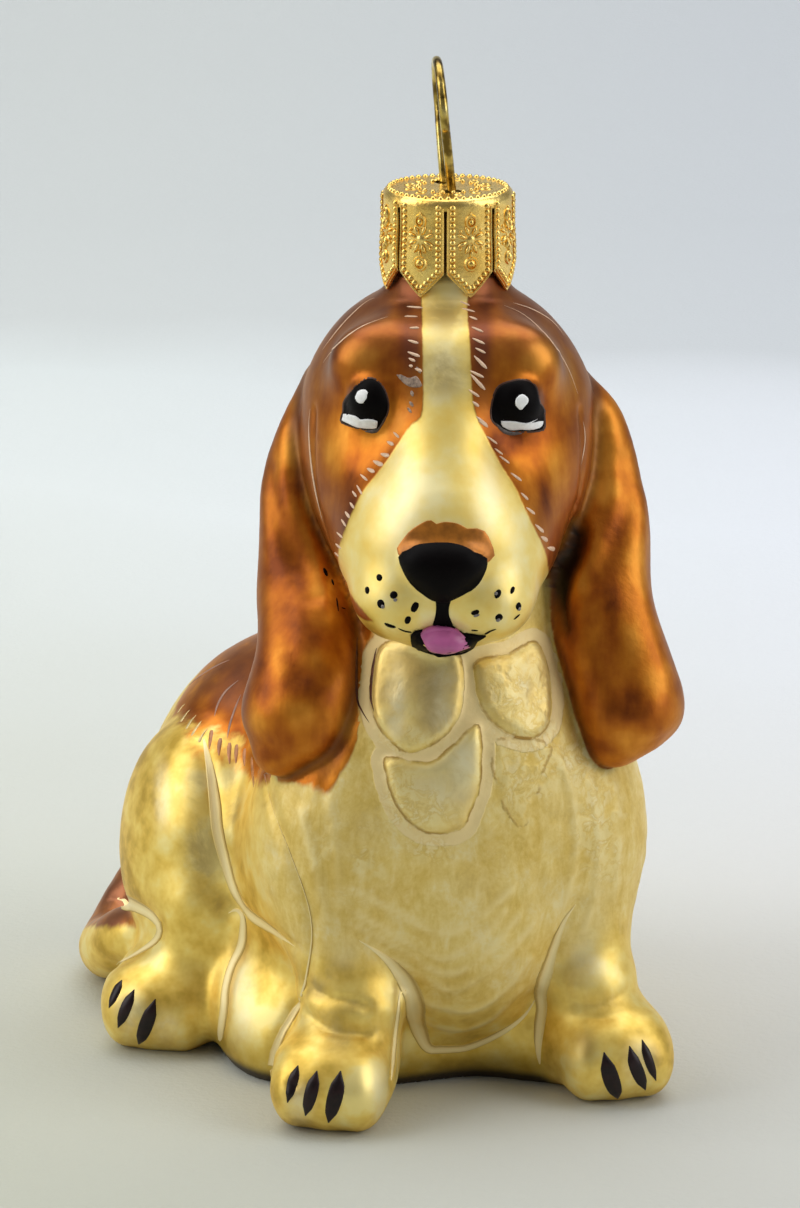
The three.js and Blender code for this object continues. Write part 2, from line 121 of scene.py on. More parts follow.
def joined(pieces, name):
    select_only(pieces)
    if len(pieces) > 1:
        bpy.ops.object.join()
    made = bpy.context.object
    made.name = made.data.name = name
    return made


def apply_modifier(piece, kind, **settings):
    select_only([piece])
    bpy.ops.object.modifier_add(type=kind)
    modifier = piece.modifiers[-1]
    for key, value in settings.items():
        setattr(modifier, key, value)
    bpy.ops.object.modifier_apply(modifier=modifier.name)


def bake_place(piece):
    """The object's place, turn and scale go into its mesh."""
    piece.data.transform(piece.matrix_world)
    piece.matrix_world = Matrix.Identity(4)


def finished(piece, material, stands_for=(), smooth=True):
    """Millimetres round the cap's axis become the frame's metres, and the piece gets its paint."""
    piece.data.transform(TO_FRAME)
    select_only([piece])
    if smooth:
        bpy.ops.object.shade_smooth()
    else:
        bpy.ops.object.shade_smooth_by_angle(angle=math.radians(40))
    piece.data.materials.clear()
    piece.data.materials.append(material)
    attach(piece, "root")
    if stands_for:
        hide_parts(*stands_for)


# Frames of the head, the chest and the hips: left, forward and up of a turned origin

def standing_at(origin, degrees):
    """A frame about an upright axis, turned by these degrees."""
    c, s = math.cos(math.radians(degrees)), math.sin(math.radians(degrees))
    x, y = origin
    return lambda left, forward, up: np.array([x + left * c + forward * s, y + left * s - forward * c, up])


def turned(degrees, lean=0.0):
    """The axes of a form turned about +Z and then leaned about its left axis."""
    turn = Matrix.Rotation(math.radians(degrees), 3, "Z") @ Matrix.Rotation(math.radians(lean), 3, "X")
    return np.array(turn)


HEAD_TURN, CHEST_TURN, HIP_TURN = -1.6, 17, 30
CHEST_ORIGIN, HIP_ORIGIN = (2.5, -12), (-13, 19)
on_head = standing_at((0, 0), HEAD_TURN)
on_chest = standing_at(CHEST_ORIGIN, CHEST_TURN)
on_hips = standing_at(HIP_ORIGIN, HIP_TURN)
SIDES = (-1, 1)


# Forms of blown glass: a field that is below zero inside, and the rough balls that it starts from

FIELD_REACH = 9  # mm round a form's box in which its field is worked out


class Form:
    def __init__(self, field, balls):
        self.field, self.balls = field, balls
        spread = max(radii.max() for _, radii, _ in balls)
        centres = np.array([place for place, _, _ in balls])
        self.low, self.high = centres.min(0) - spread, centres.max(0) + spread

    def __call__(self, points):
        """The field, worked out near the form and taken as the distance to its box elsewhere."""
        outside = np.linalg.norm(np.maximum(np.maximum(self.low - points, points - self.high), 0), axis=1)
        near = outside < FIELD_REACH
        value = outside.copy()
        if near.any():
            value[near] = self.field(points[near])
        return value


def egg(place, radii, axes=None):
    """A ball with a radius along each of its own axes."""
    axes = np.eye(3) if axes is None else axes
    place, radii = np.array(place, float), np.array(radii, float)

    def field(points):
        q = (points - place) @ axes
        once = np.sqrt(((q / radii) ** 2).sum(1))
        twice = np.sqrt(((q / radii**2) ** 2).sum(1))
        return np.where(twice < 1e-9, -radii.min(), once * (once - 1) / np.maximum(twice, 1e-9))

    return Form(field, [(place, radii, axes)])


def limb(a, radius_a, b, radius_b):
    """A round limb that tapers from one ball to another."""
    a, b = np.array(a, float), np.array(b, float)
    along = b - a

    def field(points):
        t = np.clip((points - a) @ along / (along @ along), 0, 1)
        off = np.linalg.norm(points - a - t[:, None] * along, axis=1)
        return off - radius_a - t * (radius_b - radius_a)

    count = int(np.linalg.norm(along) / (0.35 * min(radius_a, radius_b))) + 2
    balls = []
    for t in np.linspace(0, 1, count):
        balls.append((a + t * along, np.full(3, radius_a + t * (radius_b - radius_a)), np.eye(3)))
    return Form(field, balls)


def drum(place, radius, half_height, rounding):
    """An upright drum with rounded edges."""
    place = np.array(place, float)

    def field(points):
        q = points - place
        across = np.hypot(q[:, 0], q[:, 1]) - radius + rounding
        up = np.abs(q[:, 2]) - half_height + rounding
        outside = np.hypot(np.maximum(across, 0), np.maximum(up, 0))
        return outside + np.minimum(np.maximum(across, up), 0) - rounding

    return Form(field, [(place, np.array([radius, radius, half_height]), np.eye(3))])


def flowed(blend, *forms):
    """Forms that flow into each other, with a fillet about as wide as the blend."""

    def field(points):
        value = forms[0](points)
        for form in forms[1:]:
            other = form(points)
            h = np.maximum(blend - np.abs(value - other), 0) / blend
            value = np.minimum(value, other) - h * h * blend / 4
        return value

    return Form(field, [ball for form in forms for ball in form.balls])


def pressed(form, centre, radius, depth):
    """A soft hollow pressed into a form."""

    def field(points):
        return form(points) + depth * np.exp(-((points - centre) ** 2).sum(1) / radius**2)

    return Form(field, form.balls)


def smooth_line(knots, steps=8, closed=False):
    """A smooth line through its knots."""
    knots = np.array(knots, float)
    n = len(knots)
    out = []
    for i in range(n if closed else n - 1):
        pick = [(i + k) % n if closed else min(max(i + k, 0), n - 1) for k in (-1, 0, 1, 2)]
        a, b, c, d = knots[pick]
        for t in np.arange(steps) / steps:
            square, cube = 2 * a - 5 * b + 4 * c - d, 3 * b - a - 3 * c + d
            out.append(0.5 * (2 * b + (c - a) * t + square * t**2 + cube * t**3))
    if not closed:
        out.append(knots[-1])
    return np.array(out)


def lobe(knots, side, flatness, count):
    """A flat lobe along a line of knots with their half widths: a close row of eggs."""
    line = smooth_line(knots, 12)
    gaps = np.linalg.norm(np.diff(line[:, :3], axis=0), axis=1)
    share = np.concatenate(([0], np.cumsum(gaps))) / gaps.sum()
    eggs = []
    for t in np.linspace(0, 1, count):
        x, y, z, wide = (np.interp(t, share, line[:, k]) for k in range(4))
        ahead = np.array([np.interp(min(t + 0.03, 1), share, line[:, k]) for k in range(3)])
        behind = np.array([np.interp(max(t - 0.03, 0), share, line[:, k]) for k in range(3)])
        along = (ahead - behind) / np.linalg.norm(ahead - behind)
        across = side - along * (side @ along)
        across /= np.linalg.norm(across)
        axes = np.column_stack((across, np.cross(along, across), along))
        thick = wide * flatness
        eggs.append(egg((x, y, z), (wide, thick, thick), axes))
    return flowed(1.0, *eggs)


# The dog's forms

def head_form():
    cranium = egg(on_head(0, 0.5, 65.8), (14.3, 13.5, 14), turned(HEAD_TURN))
    cheeks = egg(on_head(0, 5.5, 58), (11, 11, 10.5), turned(HEAD_TURN))
    bridge = limb(on_head(0, 8, 70), 5.4, on_head(0, 14.6, 60), 6.2)
    muzzle = egg(on_head(0, 13, 55.8), (9.7, 9.4, 8.2), turned(HEAD_TURN))
    brows = [egg(on_head(s * 6.2, 9.0, 73.6), (4.4, 2.8, 3.2), turned(HEAD_TURN)) for s in SIDES]
    flews = [egg(on_head(s * 3.9, 16.8, 52.6), (4.8, 5.6, 4.4), turned(HEAD_TURN)) for s in SIDES]
    chin = egg(on_head(0, 15, 49.6), (4.6, 5, 2.8), turned(HEAD_TURN))
    skull = flowed(4, flowed(7, cranium, cheeks), flowed(4, bridge, muzzle, *brows))
    collar = drum((0, 0, 78), 5.7, 3.2, 0.6)
    made = flowed(1.6, skull, *flews, chin, collar)
    for s in SIDES:
        made = pressed(made, on_head(s * 5.4, 14, 66.5), 3.2, 0.8)
    eyes = [egg(on_head(s * 6.9, 12, 70.2), (2.3, 1.9, 2.6), turned(HEAD_TURN + s * 24)) for s in SIDES]
    nose_wings = [egg(on_head(s * 1.85, 21.6, 57.2), (2.05, 1.8, 1.7), turned(HEAD_TURN)) for s in SIDES]
    nose_tip = egg(on_head(0, 21.7, 56.1), (2.05, 1.7, 2.5), turned(HEAD_TURN))
    tongue = egg(on_head(0.2, 19.8, 49.4), (2.6, 2.2, 1), turned(HEAD_TURN, 20))
    return flowed(0.7, made, *eyes, flowed(2, *nose_wings, nose_tip), tongue)


def torso_form():
    between = turned((CHEST_TURN + HIP_TURN) / 2)
    return flowed(
        5,
        egg(on_chest(0, -8.5, 27), (18.5, 13, 19), turned(CHEST_TURN)),
        egg(on_chest(0, -5.5, 16), (9.5, 9, 11), turned(CHEST_TURN)),
        *[egg(on_chest(s * 11.5, -7.5, 24), (7.5, 8.5, 11), turned(CHEST_TURN)) for s in SIDES],
        limb(on_chest(0, -9, 36), 12, (0, 0.5, 52), 11),
        egg((-8, 6, 18), (15, 17, 18), between),
        egg((-10, 5, 6.5), (14.5, 14, 7.5), between),
        *[egg(on_hips(s * 7.5, 17.5, 3), (12, 11, 7), turned(HIP_TURN)) for s in SIDES],
        egg((2, 1.6, 3.8), (14, 9.5, 5.2), turned(CHEST_TURN)),
        egg((9.8, -2.6, 3.8), (6.2, 8.2, 5.2), turned(CHEST_TURN)),
        egg(on_hips(-1, -1, 19), (17.5, 15, 19.5), turned(HIP_TURN)),
        limb((-2, 6, 45), 9.5, on_hips(0, 1, 26), 10),
    )


def foreleg_form(s):
    shoulder, wrist = on_chest(s * 12, -5.5, 23), on_chest(s * 11.8, -1.4, 9)
    cuff = egg(on_chest(s * 11.8, -1, 11), (4.9, 4.8, 2.6), turned(CHEST_TURN))
    return flowed(2, limb(shoulder, 6.4, wrist, 4.6), cuff)


def thigh_form(s):
    haunch = egg(on_hips(s * 15, 2, 17.5), (7.2, 10.5, 14), turned(HIP_TURN))
    shin = limb(on_hips(s * 16.8, 7, 14), 4.8, on_hips(s * 17.6, 6.5, 6), 4.6)
    return flowed(3, haunch, shin)


PAW_CENTRE_Z = 4.55


def paw_form(place, turn, width, length):
    on_paw = standing_at((place[0], place[1]), turn)
    toes = []
    for k in (-1, 0, 1):
        toe = on_paw(k * width * 0.27, length * 0.27, place[2] - 0.7)
        toes.append(egg(toe, (width * 0.2, length * 0.25, 3.72), turned(turn)))
    return flowed(2.4, egg(place, (width / 2, length / 2, 4.9), turned(turn, -6)), *toes)


# each knot: its place, and half the ear's width there
EAR_LINES = {
    "right": (
        (-11.9, 2.5, 68.4, 2.0), (-13.6, 1.2, 65.1, 2.4), (-14.8, -0.2, 60.4, 2.9),
        (-14.9, -1.8, 54.8, 3.5), (-14.3, -3.4, 50.2, 4.0), (-13.6, -7.0, 46.6, 4.6),
        (-13.8, -9.9, 42.9, 5.0), (-14.9, -11.7, 38.9, 5.1),
    ),
    "left": (
        (11.8, 2.5, 68.4, 2.0), (14.5, 1.2, 65.1, 2.4), (15.7, -0.2, 60.4, 3.0), (15.4, -1.8, 54.8, 4.2),
        (14.8, -3.4, 51.0, 5.0), (15.3, -4.9, 46.8, 5.05), (16.6, -6.2, 42.8, 5.15),
        (17.8, -7.6, 38.6, 5.2),
    ),
}
# the way each ear's flat side runs, and the swelling at its tip: place and radii
EAR_SIDES = {"right": (1, -0.6, 0), "left": (-1, -0.4, 0)}
EAR_BUMPS = {
    "right": ((-16.2, -12.4, 35.7), (2.7, 2.4, 2.4)),
    "left": ((16.2, -8.4, 35.6), (2.7, 2.4, 2.7)),
}
TAIL_LINE = (
    (-21, 31, 16), (-30, 31.5, 9), (-34.5, 25, 3.2), (-34.4, 18.5, 4.6), (-32.2, 13.6, 7.6),
    (-29.2, 11.7, 8.9),
)
TAIL_RADIUS = 3.2


def ear_form(which):
    side, bump = EAR_SIDES[which], EAR_BUMPS[which]
    return flowed(1.2, lobe(EAR_LINES[which], np.array(side), 0.9, 24), egg(*bump))


def tail_form():
    return lobe([(*place, TAIL_RADIUS) for place in TAIL_LINE], np.array([0, 0, 1.0]), 1.0, 18)


forepaw_places = {s: on_chest(s * 13.7, -0.2, PAW_CENTRE_Z) for s in SIDES}
hind_foot_places = {s: on_hips(s * 19.8, 3.9, PAW_CENTRE_Z) for s in SIDES}
head = head_form()
torso = torso_form()
ears = {which: ear_form(which) for which in EAR_LINES}
tail = tail_form()
forelegs = flowed(1.0, *[foreleg_form(s) for s in SIDES])
forepaws = flowed(1.0, *[paw_form(forepaw_places[s], 2 + s * 12, 11.8, 15.8) for s in SIDES])
thighs = flowed(1.0, *[thigh_form(s) for s in SIDES])
hind_feet = flowed(1.0, *[paw_form(hind_foot_places[s], HIP_TURN + s * 42, 11.6, 15) for s in SIDES])
body = flowed(2.2, torso, forelegs, thighs)
body = flowed(2.6, body, forepaws, hind_feet)
figure = flowed(2.5, body, head)
figure = flowed(1.0, figure, tail, *ears.values())


def rough_figure(form):
    """The rough balls of all the forms, joined."""
    pieces = []
    for place, radii, axes in form.balls:
        bpy.ops.mesh.primitive_ico_sphere_add(subdivisions=3, radius=1)
        ball = bpy.context.object
        scale = Matrix.Diagonal((*(radii + 0.15), 1))
        ball.data.transform(Matrix.Translation(place) @ Matrix(axes.tolist()).to_4x4() @ scale)
        pieces.append(ball)
    return joined(pieces, "glass_figure")


def settle(piece, form, steps):
    """The skin is drawn onto the forms, down the slope of their field."""
    points = points_of(piece.data)
    step, furthest = 0.03, 1.2
    for _ in range(steps):
        value = form(points)
        slope = np.column_stack([(form(points + step * axis) - value) / step for axis in np.eye(3)])
        size = np.maximum((slope**2).sum(1), 0.25)
        move = slope * (value / size)[:, None]
        length = np.linalg.norm(move, axis=1)
        move *= np.minimum(1, furthest / np.maximum(length, 1e-9))[:, None]
        points -= move
    place_points(piece.data, points)


# the finer voxel keeps the skin just under 200,000 triangles
FIRST_VOXEL, SKIN_VOXEL = 1.0, 0.472


def blown_skin():
    """One skin over all the forms: wrapped roughly, then finely, and drawn onto them."""
    skin = rough_figure(figure)
    apply_modifier(skin, "REMESH", mode="VOXEL", voxel_size=FIRST_VOXEL)
    settle(skin, figure, 4)
    apply_modifier(skin, "REMESH", mode="VOXEL", voxel_size=SKIN_VOXEL)
    apply_modifier(skin, "SMOOTH", factor=0.5, iterations=3)
    settle(skin, figure, 2)
    return skin


# Reading lines and outlines drawn in the photograph's pixels

def rise(value, start, end):
    """0 before start and 1 after end, with a soft step between them."""
    t = np.clip((value - start) / (end - start), 0, 1)
    return t * t * (3 - 2 * t)


def outline_depth(pixels, outline):
    """How far pixels lie inside an outline, in millimetres, and below zero outside it."""
    outline = smooth_line(outline, 5, closed=True)
    following = np.roll(outline, -1, axis=0)
    nearest = np.full(len(pixels), 1e9)
    inside = np.zeros(len(pixels), bool)
    for a, b in zip(outline, following):
        edge = b - a
        t = np.clip((pixels - a) @ edge / max(edge @ edge, 1e-9), 0, 1)
        nearest = np.minimum(nearest, np.linalg.norm(pixels - a - t[:, None] * edge, axis=1))
        crosses = (a[1] > pixels[:, 1]) != (b[1] > pixels[:, 1])
        if abs(edge[1]) > 1e-9:
            inside ^= crosses & (pixels[:, 0] < a[0] + (pixels[:, 1] - a[1]) * edge[0] / edge[1])
    return np.where(inside, nearest, -nearest) / PIXELS_PER_MM


def gap_to_line(points, line):
    """Distance of points from a line of places."""
    nearest = np.full(len(points), 1e9)
    for a, b in zip(line[:-1], line[1:]):
        edge = b - a
        t = np.clip((points - a) @ edge / max(edge @ edge, 1e-9), 0, 1)
        nearest = np.minimum(nearest, np.linalg.norm(points - a - t[:, None] * edge, axis=1))
    return nearest


# in mm: where the search for the skin under a point starts above it, and how far it goes down
ABOVE_SKIN, SEARCH_DEPTH = 1.2, 2.6


class Surface:
    """The finished skin, which paint is laid on where the camera sees a pixel of it."""

    def __init__(self, mesh):
        self.tree = BVHTree.FromPolygons([v.co for v in mesh.vertices], [p.vertices for p in mesh.polygons])
        self.eye = Vector(CAMERA_PLACE)

    def at(self, u, v):
        """The place and normal that the camera sees at a pixel, or the nearest to its line of sight."""
        sight = sight_line(u, v)
        place, normal, _, _ = self.tree.ray_cast(self.eye, sight)
        if place is None:
            place, normal, _, _ = self.tree.find_nearest(self.eye + sight * FIGURE_FROM_CAMERA)
        return place, normal

    def line(self, knots, steps=6):
        """The places on the skin along a line drawn in pixels."""
        return np.array([self.at(u, v)[0] for u, v in smooth_line(knots, steps)])

    def nearest(self, point):
        place, normal, _, _ = self.tree.find_nearest(Vector(point))
        return place, normal

    def under(self, point, normal):
        """The skin straight below a point, along a normal."""
        start = Vector(point) + normal * ABOVE_SKIN
        place, hit_normal, _, _ = self.tree.ray_cast(start, -normal, SEARCH_DEPTH)
        return (place, hit_normal) if place is not None else self.nearest(point)


# Lines of the figure in the photograph

# the pads of the chest: how far each stands proud in mm, and its outline; the last is nearly flat
CHEST_PADS = (
    (
        0.62,
        (
            (380, 647), (371, 700), (382, 732), (403, 751), (419, 752), (446, 735), (462, 709),
            (460, 655), (420, 640),
        ),
    ),
    (
        0.55,
        (
            (476, 661), (509, 653), (533, 641), (546, 660), (551, 692), (548, 724), (533, 738),
            (517, 738), (498, 728), (482, 709), (474, 684),
        ),
    ),
    (
        0.5,
        (
            (387, 756), (385, 771), (395, 803), (414, 826), (435, 834), (462, 829), (471, 811),
            (481, 779), (478, 724), (449, 748), (425, 762),
        ),
    ),
    (0.12, ((495, 741), (497, 787), (517, 826), (533, 811), (543, 771), (548, 743))),
)
# the cream blaze and muzzle, down into the collar of pads
CREAM_FACE = (
    (422, 270), (422, 309), (423, 360), (422, 414), (410, 426), (386, 462), (359, 498), (342, 538),
    (338, 556), (342, 577), (351, 595), (364, 612), (377, 626), (388, 648), (400, 700), (480, 700),
    (500, 650), (527, 626), (540, 604), (547, 584), (548, 564), (542, 544), (530, 520), (515, 487),
    (501, 465), (488, 440), (476, 414), (472, 390), (470, 345), (467, 309), (466, 270),
)
# the cream channels between the forms: line, and widths in pixels at even steps
CHANNELS = (
    (
        (
            (203, 736), (207, 754), (211, 774), (215, 803), (218, 831), (226, 862), (235, 890),
            (248, 912), (270, 928), (297, 948),
        ),
        (8, 9, 9, 9, 8.5, 9, 9, 7, 2),
    ),
    (
        ((227, 914), (236, 910), (243, 918), (242, 944), (232, 966), (226, 988), (224, 1012), (219, 1042)),
        (3, 8, 9, 8, 8, 9, 11, 13),
    ),
    (
        ((113, 897), (134, 904), (152, 915), (160, 928), (156, 940), (141, 951), (114, 966)),
        (11, 14, 14, 11, 6, 4, 2),
    ),
    (
        (
            (265, 775), (273, 809), (289, 850), (307, 900), (312, 931), (310, 956), (304, 987),
            (295, 1012), (282, 1034), (273, 1060), (269, 1090),
        ),
        (0.3, 0.6, 1, 2, 4.5, 7, 7.5, 7.5, 7, 6, 4),
    ),
    (
        (
            (355, 938), (380, 954), (399, 972), (411, 993), (415, 1012), (421, 1034), (429, 1048),
            (441, 1049), (463, 1048), (484, 1041), (506, 1030), (524, 1016), (536, 998),
        ),
        (2, 6, 10, 13, 14.5, 13.5, 12, 8, 6.5, 6, 6, 5, 4),
    ),
    (
        (
            (540, 1066), (538.5, 1053), (538.5, 1040), (540, 1024), (542, 1008), (541, 990), (548, 965),
            (556, 940), (566, 918), (577, 903),
        ),
        (7, 8, 9, 9, 9.5, 10, 8, 7, 5, 2.5),
    ),
    (((400, 988), (398, 1012), (395, 1036), (393, 1060), (391, 1082)), (2, 4, 5, 5, 3)),
)
HAUNCH_CHANNELS_LEFT_OF = 303  # those that lie wholly left of this pixel are the right haunch's own
CHANNEL_DEPTH = 0.3
# creases of the paws, then folds of the ears: depth, width and line; those below zero stand proud
MOULD_LINES = (
    (0.28, 0.5, ((301, 985), (330, 997), (368, 1006))),
    (0.28, 0.5, ((303, 1012), (322, 1026), (366, 1034))),
    (0.2, 0.4, ((310, 986), (326, 998), (350, 999), (366, 1007))),
    (0.2, 0.4, ((307, 1013), (323, 1027), (348, 1034), (366, 1033))),
    (0.2, 0.4, ((563, 985), (578, 1002), (597, 1006), (615, 1001), (632, 988))),
    (0.15, 0.4, ((580, 1012), (600, 1018), (622, 1010))),
    (0.3, 0.4, ((314, 410), (313, 460), (319, 509), (337, 562), (350, 595))),
    (0.25, 0.4, ((581, 410), (583, 450), (580, 490), (566, 530), (553, 575))),
    (0.45, 1.4, ((624, 464), (626, 502), (608, 553), (591, 579))),
    (0.35, 1.3, ((596, 420), (606, 470), (600, 520), (578, 560))),
    (-0.3, 1.3, ((608, 440), (616, 486), (600, 536), (584, 570))),
    (0.4, 1.2, ((270, 470), (275, 512), (293, 550), (316, 594))),
    (-0.35, 1.2, ((287, 430), (297, 500), (313, 546), (324, 591), (334, 620))),
    (0.3, 0.9, ((297, 478), (305, 500), (318, 530))),
    (-0.3, 1.6, ((640, 500), (640, 560), (648, 620), (664, 672))),
    (0.35, 1.6, ((280, 600), (284, 640), (300, 672))),
    (0.35, 1.6, ((256, 748), (280, 742), (310, 726))),
    (0.35, 1.7, ((600, 620), (616, 660), (632, 700))),
    (0.4, 1.4, ((668, 738), (648, 742), (630, 736))),
)
# brush marks in the wash: curved ones across the belly, upright ones up both sides
CHEST_BRUSHES = (
    ((352, 912), (400, 938), (440, 958), (474, 944), (505, 912)),
    ((360, 927), (410, 955), (446, 974), (482, 957), (520, 915)),
    ((372, 950), (420, 975), (455, 989), (500, 961), (536, 920)),
    ((350, 888), (400, 914), (440, 934), (480, 918), (512, 888)),
    ((395, 990), (430, 1005), (470, 1011), (505, 990), (530, 958)),
    ((420, 1021), (455, 1030), (490, 1019), (520, 990)),
    ((560, 760), (572, 800), (576, 850), (566, 900)),
    ((590, 780), (598, 830), (596, 890), (584, 930)),
    ((616, 790), (620, 840), (614, 900)),
    ((330, 800), (336, 850), (340, 900)),
    ((300, 810), (316, 870), (326, 920)),
)
# the hollow where the left ear leaves the head, pressed in and darkened with painted shadow
EAR_SHADOW = (
    (548, 600), (546, 584), (553, 560), (565, 540), (572, 522), (580, 520), (586, 532), (580, 556),
    (570, 580), (566, 606), (568, 630), (562, 632), (555, 616),
)
# the lower edge of the amber over the haunch and shoulder, and under the right ear
SADDLE_EDGE = (
    (167, 705), (180, 718), (196, 736), (210, 746), (226, 752), (240, 764), (256, 782), (285, 782),
    (314, 788), (324, 797), (336, 784), (347, 765), (357, 740), (361, 715), (366, 690),
)
TAIL_EDGE = 926  # the amber of the tail ends at this height in the photograph
# where the amber lacquer lies thick or thin, with painted highlights among the glows and painted shade
# among the depths: middle, and reach across and down
AMBER_GLOWS_AND_HIGHLIGHTS = (
    (361, 352, 24, 20), (341, 430, 12, 16), (332, 462, 9, 22), (542, 360, 19, 17), (566, 385, 10, 30),
    (558, 474, 12, 30), (606, 418, 14, 26), (598, 448, 18, 20), (602, 493, 18, 20), (579, 579, 10, 18),
    (657, 677, 16, 14), (293, 446, 8, 26), (307, 523, 7, 26), (256, 722, 14, 12), (276, 664, 10, 20),
    (640, 560, 14, 40), (622, 736, 18, 12), (252, 600, 8, 30), (634, 640, 12, 30),
)
AMBER_DEPTHS_AND_SHADES = (
    (405, 356, 12, 26), (482, 340, 11, 32), (397, 453, 20, 16), (504, 443, 22, 12), (612, 612, 8, 40),
    (600, 745, 16, 8), (637, 712, 18, 22), (299, 489, 6, 20), (303, 564, 6, 24), (324, 635, 14, 12),
    (300, 682, 26, 16), (328, 699, 14, 16), (328, 744, 18, 16), (268, 756, 18, 7), (236, 716, 12, 44),
    (572, 640, 8, 50), (290, 610, 16, 60), (272, 560, 10, 40), (262, 668, 10, 40), (352, 520, 10, 40),
    (545, 500, 8, 30), (284, 500, 8, 30),
)
# painted shade, a dull green-gold, for the darker reflections on the gold; the same columns
OLIVE_SHADES = (
    (445, 372, 26, 30), (445, 316, 24, 18), (200, 862, 20, 36), (194, 800, 12, 42), (222, 905, 12, 14),
    (234, 800, 9, 50), (339, 1040, 14, 22), (350, 1006, 12, 8), (584, 1046, 14, 18), (318, 988, 10, 10),
    (146, 1012, 14, 12), (429, 700, 14, 40), (448, 778, 18, 26), (522, 690, 10, 30), (470, 1070, 60, 12),
)
# painted highlights, pale and pearly, for the bright reflections on the gold; the same columns
PEARL_HIGHLIGHTS = (
    (405, 512, 26, 46), (487, 500, 14, 40), (397, 705, 9, 34), (580, 940, 16, 44), (344, 948, 16, 18),
    (129, 1016, 14, 24), (166, 1030, 14, 16), (240, 1000, 14, 46), (162, 800, 8, 34), (464, 760, 12, 30),
    (300, 1104, 14, 18), (640, 1062, 16, 20), (380, 1095, 8, 30), (596, 966, 10, 10), (444, 700, 12, 40),
    (425, 800, 30, 24), (600, 900, 12, 30), (370, 830, 20, 20), (470, 890, 26, 22), (560, 800, 16, 30),
)
# the one clear orange patch in the mauve of the saddle
ORANGE_PATCH = (203, 712, 13, 20)
# where the wash on the pads has broken into crumbs
CRUMBS = (
    (515, 690, 34, 44), (425, 806, 34, 22), (400, 790, 14, 34), (522, 780, 30, 44), (412, 738, 36, 12),
    (545, 740, 14, 40), (450, 850, 60, 12), (600, 830, 30, 60), (350, 860, 40, 40), (580, 760, 30, 20),
)


def mirrored(line, surface):
    """A line of the dog's right side, copied to its left across the middle of the body."""
    middle = np.array([HIP_ORIGIN[0], HIP_ORIGIN[1], 0])
    across = turned(HIP_TURN)[:, 0]
    moved = line - 2 * ((line - middle) @ across)[:, None] * across
    return np.array([surface.nearest(p)[0] for p in moved])


def channel_lines(surface):
    """The channels' places and widths in millimetres; the right haunch's are repeated on the left."""
    made = []
    for knots, widths in CHANNELS:
        line = surface.line(knots)
        widths = np.array(widths) / PIXELS_PER_MM
        made.append((line, widths))
        if max(u for u, _ in knots) < HAUNCH_CHANNELS_LEFT_OF:
            made.append((mirrored(line, surface), widths))
    return made


# The relief of the mould, and what the painter needs to know of each place

class SkinPlaces:
    """The skin's points, how high they are, and where they lie in the photograph and on the forms."""

    def __init__(self, skin):
        self.points = points_of(skin.data)
        self.height = self.points[:, 2]
        self.pixels = photo_pixels(self.points)
        self.normals = normals_of(skin.data)
        self.head_gap = head(self.points)
        self.torso_gap = torso(self.points)
        self.tail_gap = tail(self.points)
        self.ear_gap = np.minimum(ears["right"](self.points), ears["left"](self.points))
        self.leg_gap = np.minimum(forelegs(self.points), forepaws(self.points))
        self.forward_head = -(self.points - on_head(0, 0, 0)) @ turned(HEAD_TURN)[:, 1]
        self.forward_chest = -(self.points - on_chest(0, 0, 0)) @ turned(CHEST_TURN)[:, 1]

    def press(self, skin, relief):
        """The points move out by the relief, and none goes through the table."""
        self.points += self.normals * relief[:, None]
        self.height[:] = np.maximum(self.height, 0.0)
        place_points(skin.data, self.points)

    def lumps(self, size, seed):
        """Soft unevenness of blown glass, of this size in mm."""
        shift = Vector((seed, 0, 0))
        return np.array([noise.noise(Vector(p) / size + shift) for p in self.points])

    def marks(self, rows):
        """Soft spots where the camera sees them."""
        sight = np.array([0, math.cos(PITCH), -math.sin(PITCH)])
        seen = rise(-(self.normals @ sight), 0.05, 0.35)
        value = np.zeros(len(self.points))
        for u, v, across, down in rows:
            off = ((self.pixels[:, 0] - u) / across) ** 2 + ((self.pixels[:, 1] - v) / down) ** 2
            value += np.exp(-(off**1.3))
        return np.minimum(value, 1) * seen


def chest_pads(at):
    """How far the pads stand proud, and how deep places lie in the three pads and in the flat one."""
    front = (at.forward_chest > -7) & (at.ear_gap > 0.4) & (at.head_gap > 0.4)
    depths = [outline_depth(at.pixels, outline) for _, outline in CHEST_PADS]
    proud = np.zeros(len(at.points))
    for (full, _), depth in zip(CHEST_PADS, depths):
        proud = np.maximum(proud, full * rise(depth, -0.25, 0.75) * front)
    inside = np.where(front, np.clip(np.maximum.reduce(depths[:3]), -3, 3), -3)
    inside_flat = np.where(front, np.clip(depths[3], -2, 2), -2)
    return proud, inside, inside_flat


def press_lines(relief, at, surface):
    """The channels, creases and folds are taken from the relief."""
    for line, widths in channel_lines(surface):
        half_width = max(widths) / 2
        relief -= CHANNEL_DEPTH * np.exp(-((gap_to_line(at.points, line) / (half_width + 0.25)) ** 2))
    for depth, width, knots in MOULD_LINES:
        relief -= depth * np.exp(-((gap_to_line(at.points, surface.line(knots)) / width) ** 2))


def brush_marks(at, surface):
    """The ridges that the brush left in the wash."""
    brushed = np.zeros(len(at.points))
    for knots in CHEST_BRUSHES:
        gap = gap_to_line(at.points, surface.line(knots))
        brushed = np.maximum(brushed, np.exp(-((gap / 0.42) ** 2)))
    return brushed


SADDLE_CENTRE = np.array([-4.0, 4.0])  # what bearings round the body are taken about
FACING = (CHEST_TURN + HIP_TURN) / 2
# how high the saddle's edge runs over the back: degrees round from the chest, and height
BACK_TURNS, BACK_HEIGHTS = [150, 180], [34, 22]


def bearing(places):
    """Degrees round the body, 0 ahead of the chest and growing to the dog's right."""
    away = places[:, :2] - SADDLE_CENTRE
    angle = np.degrees(np.arctan2(-away[:, 0], -away[:, 1])) + FACING
    return (angle + 180) % 360 - 180


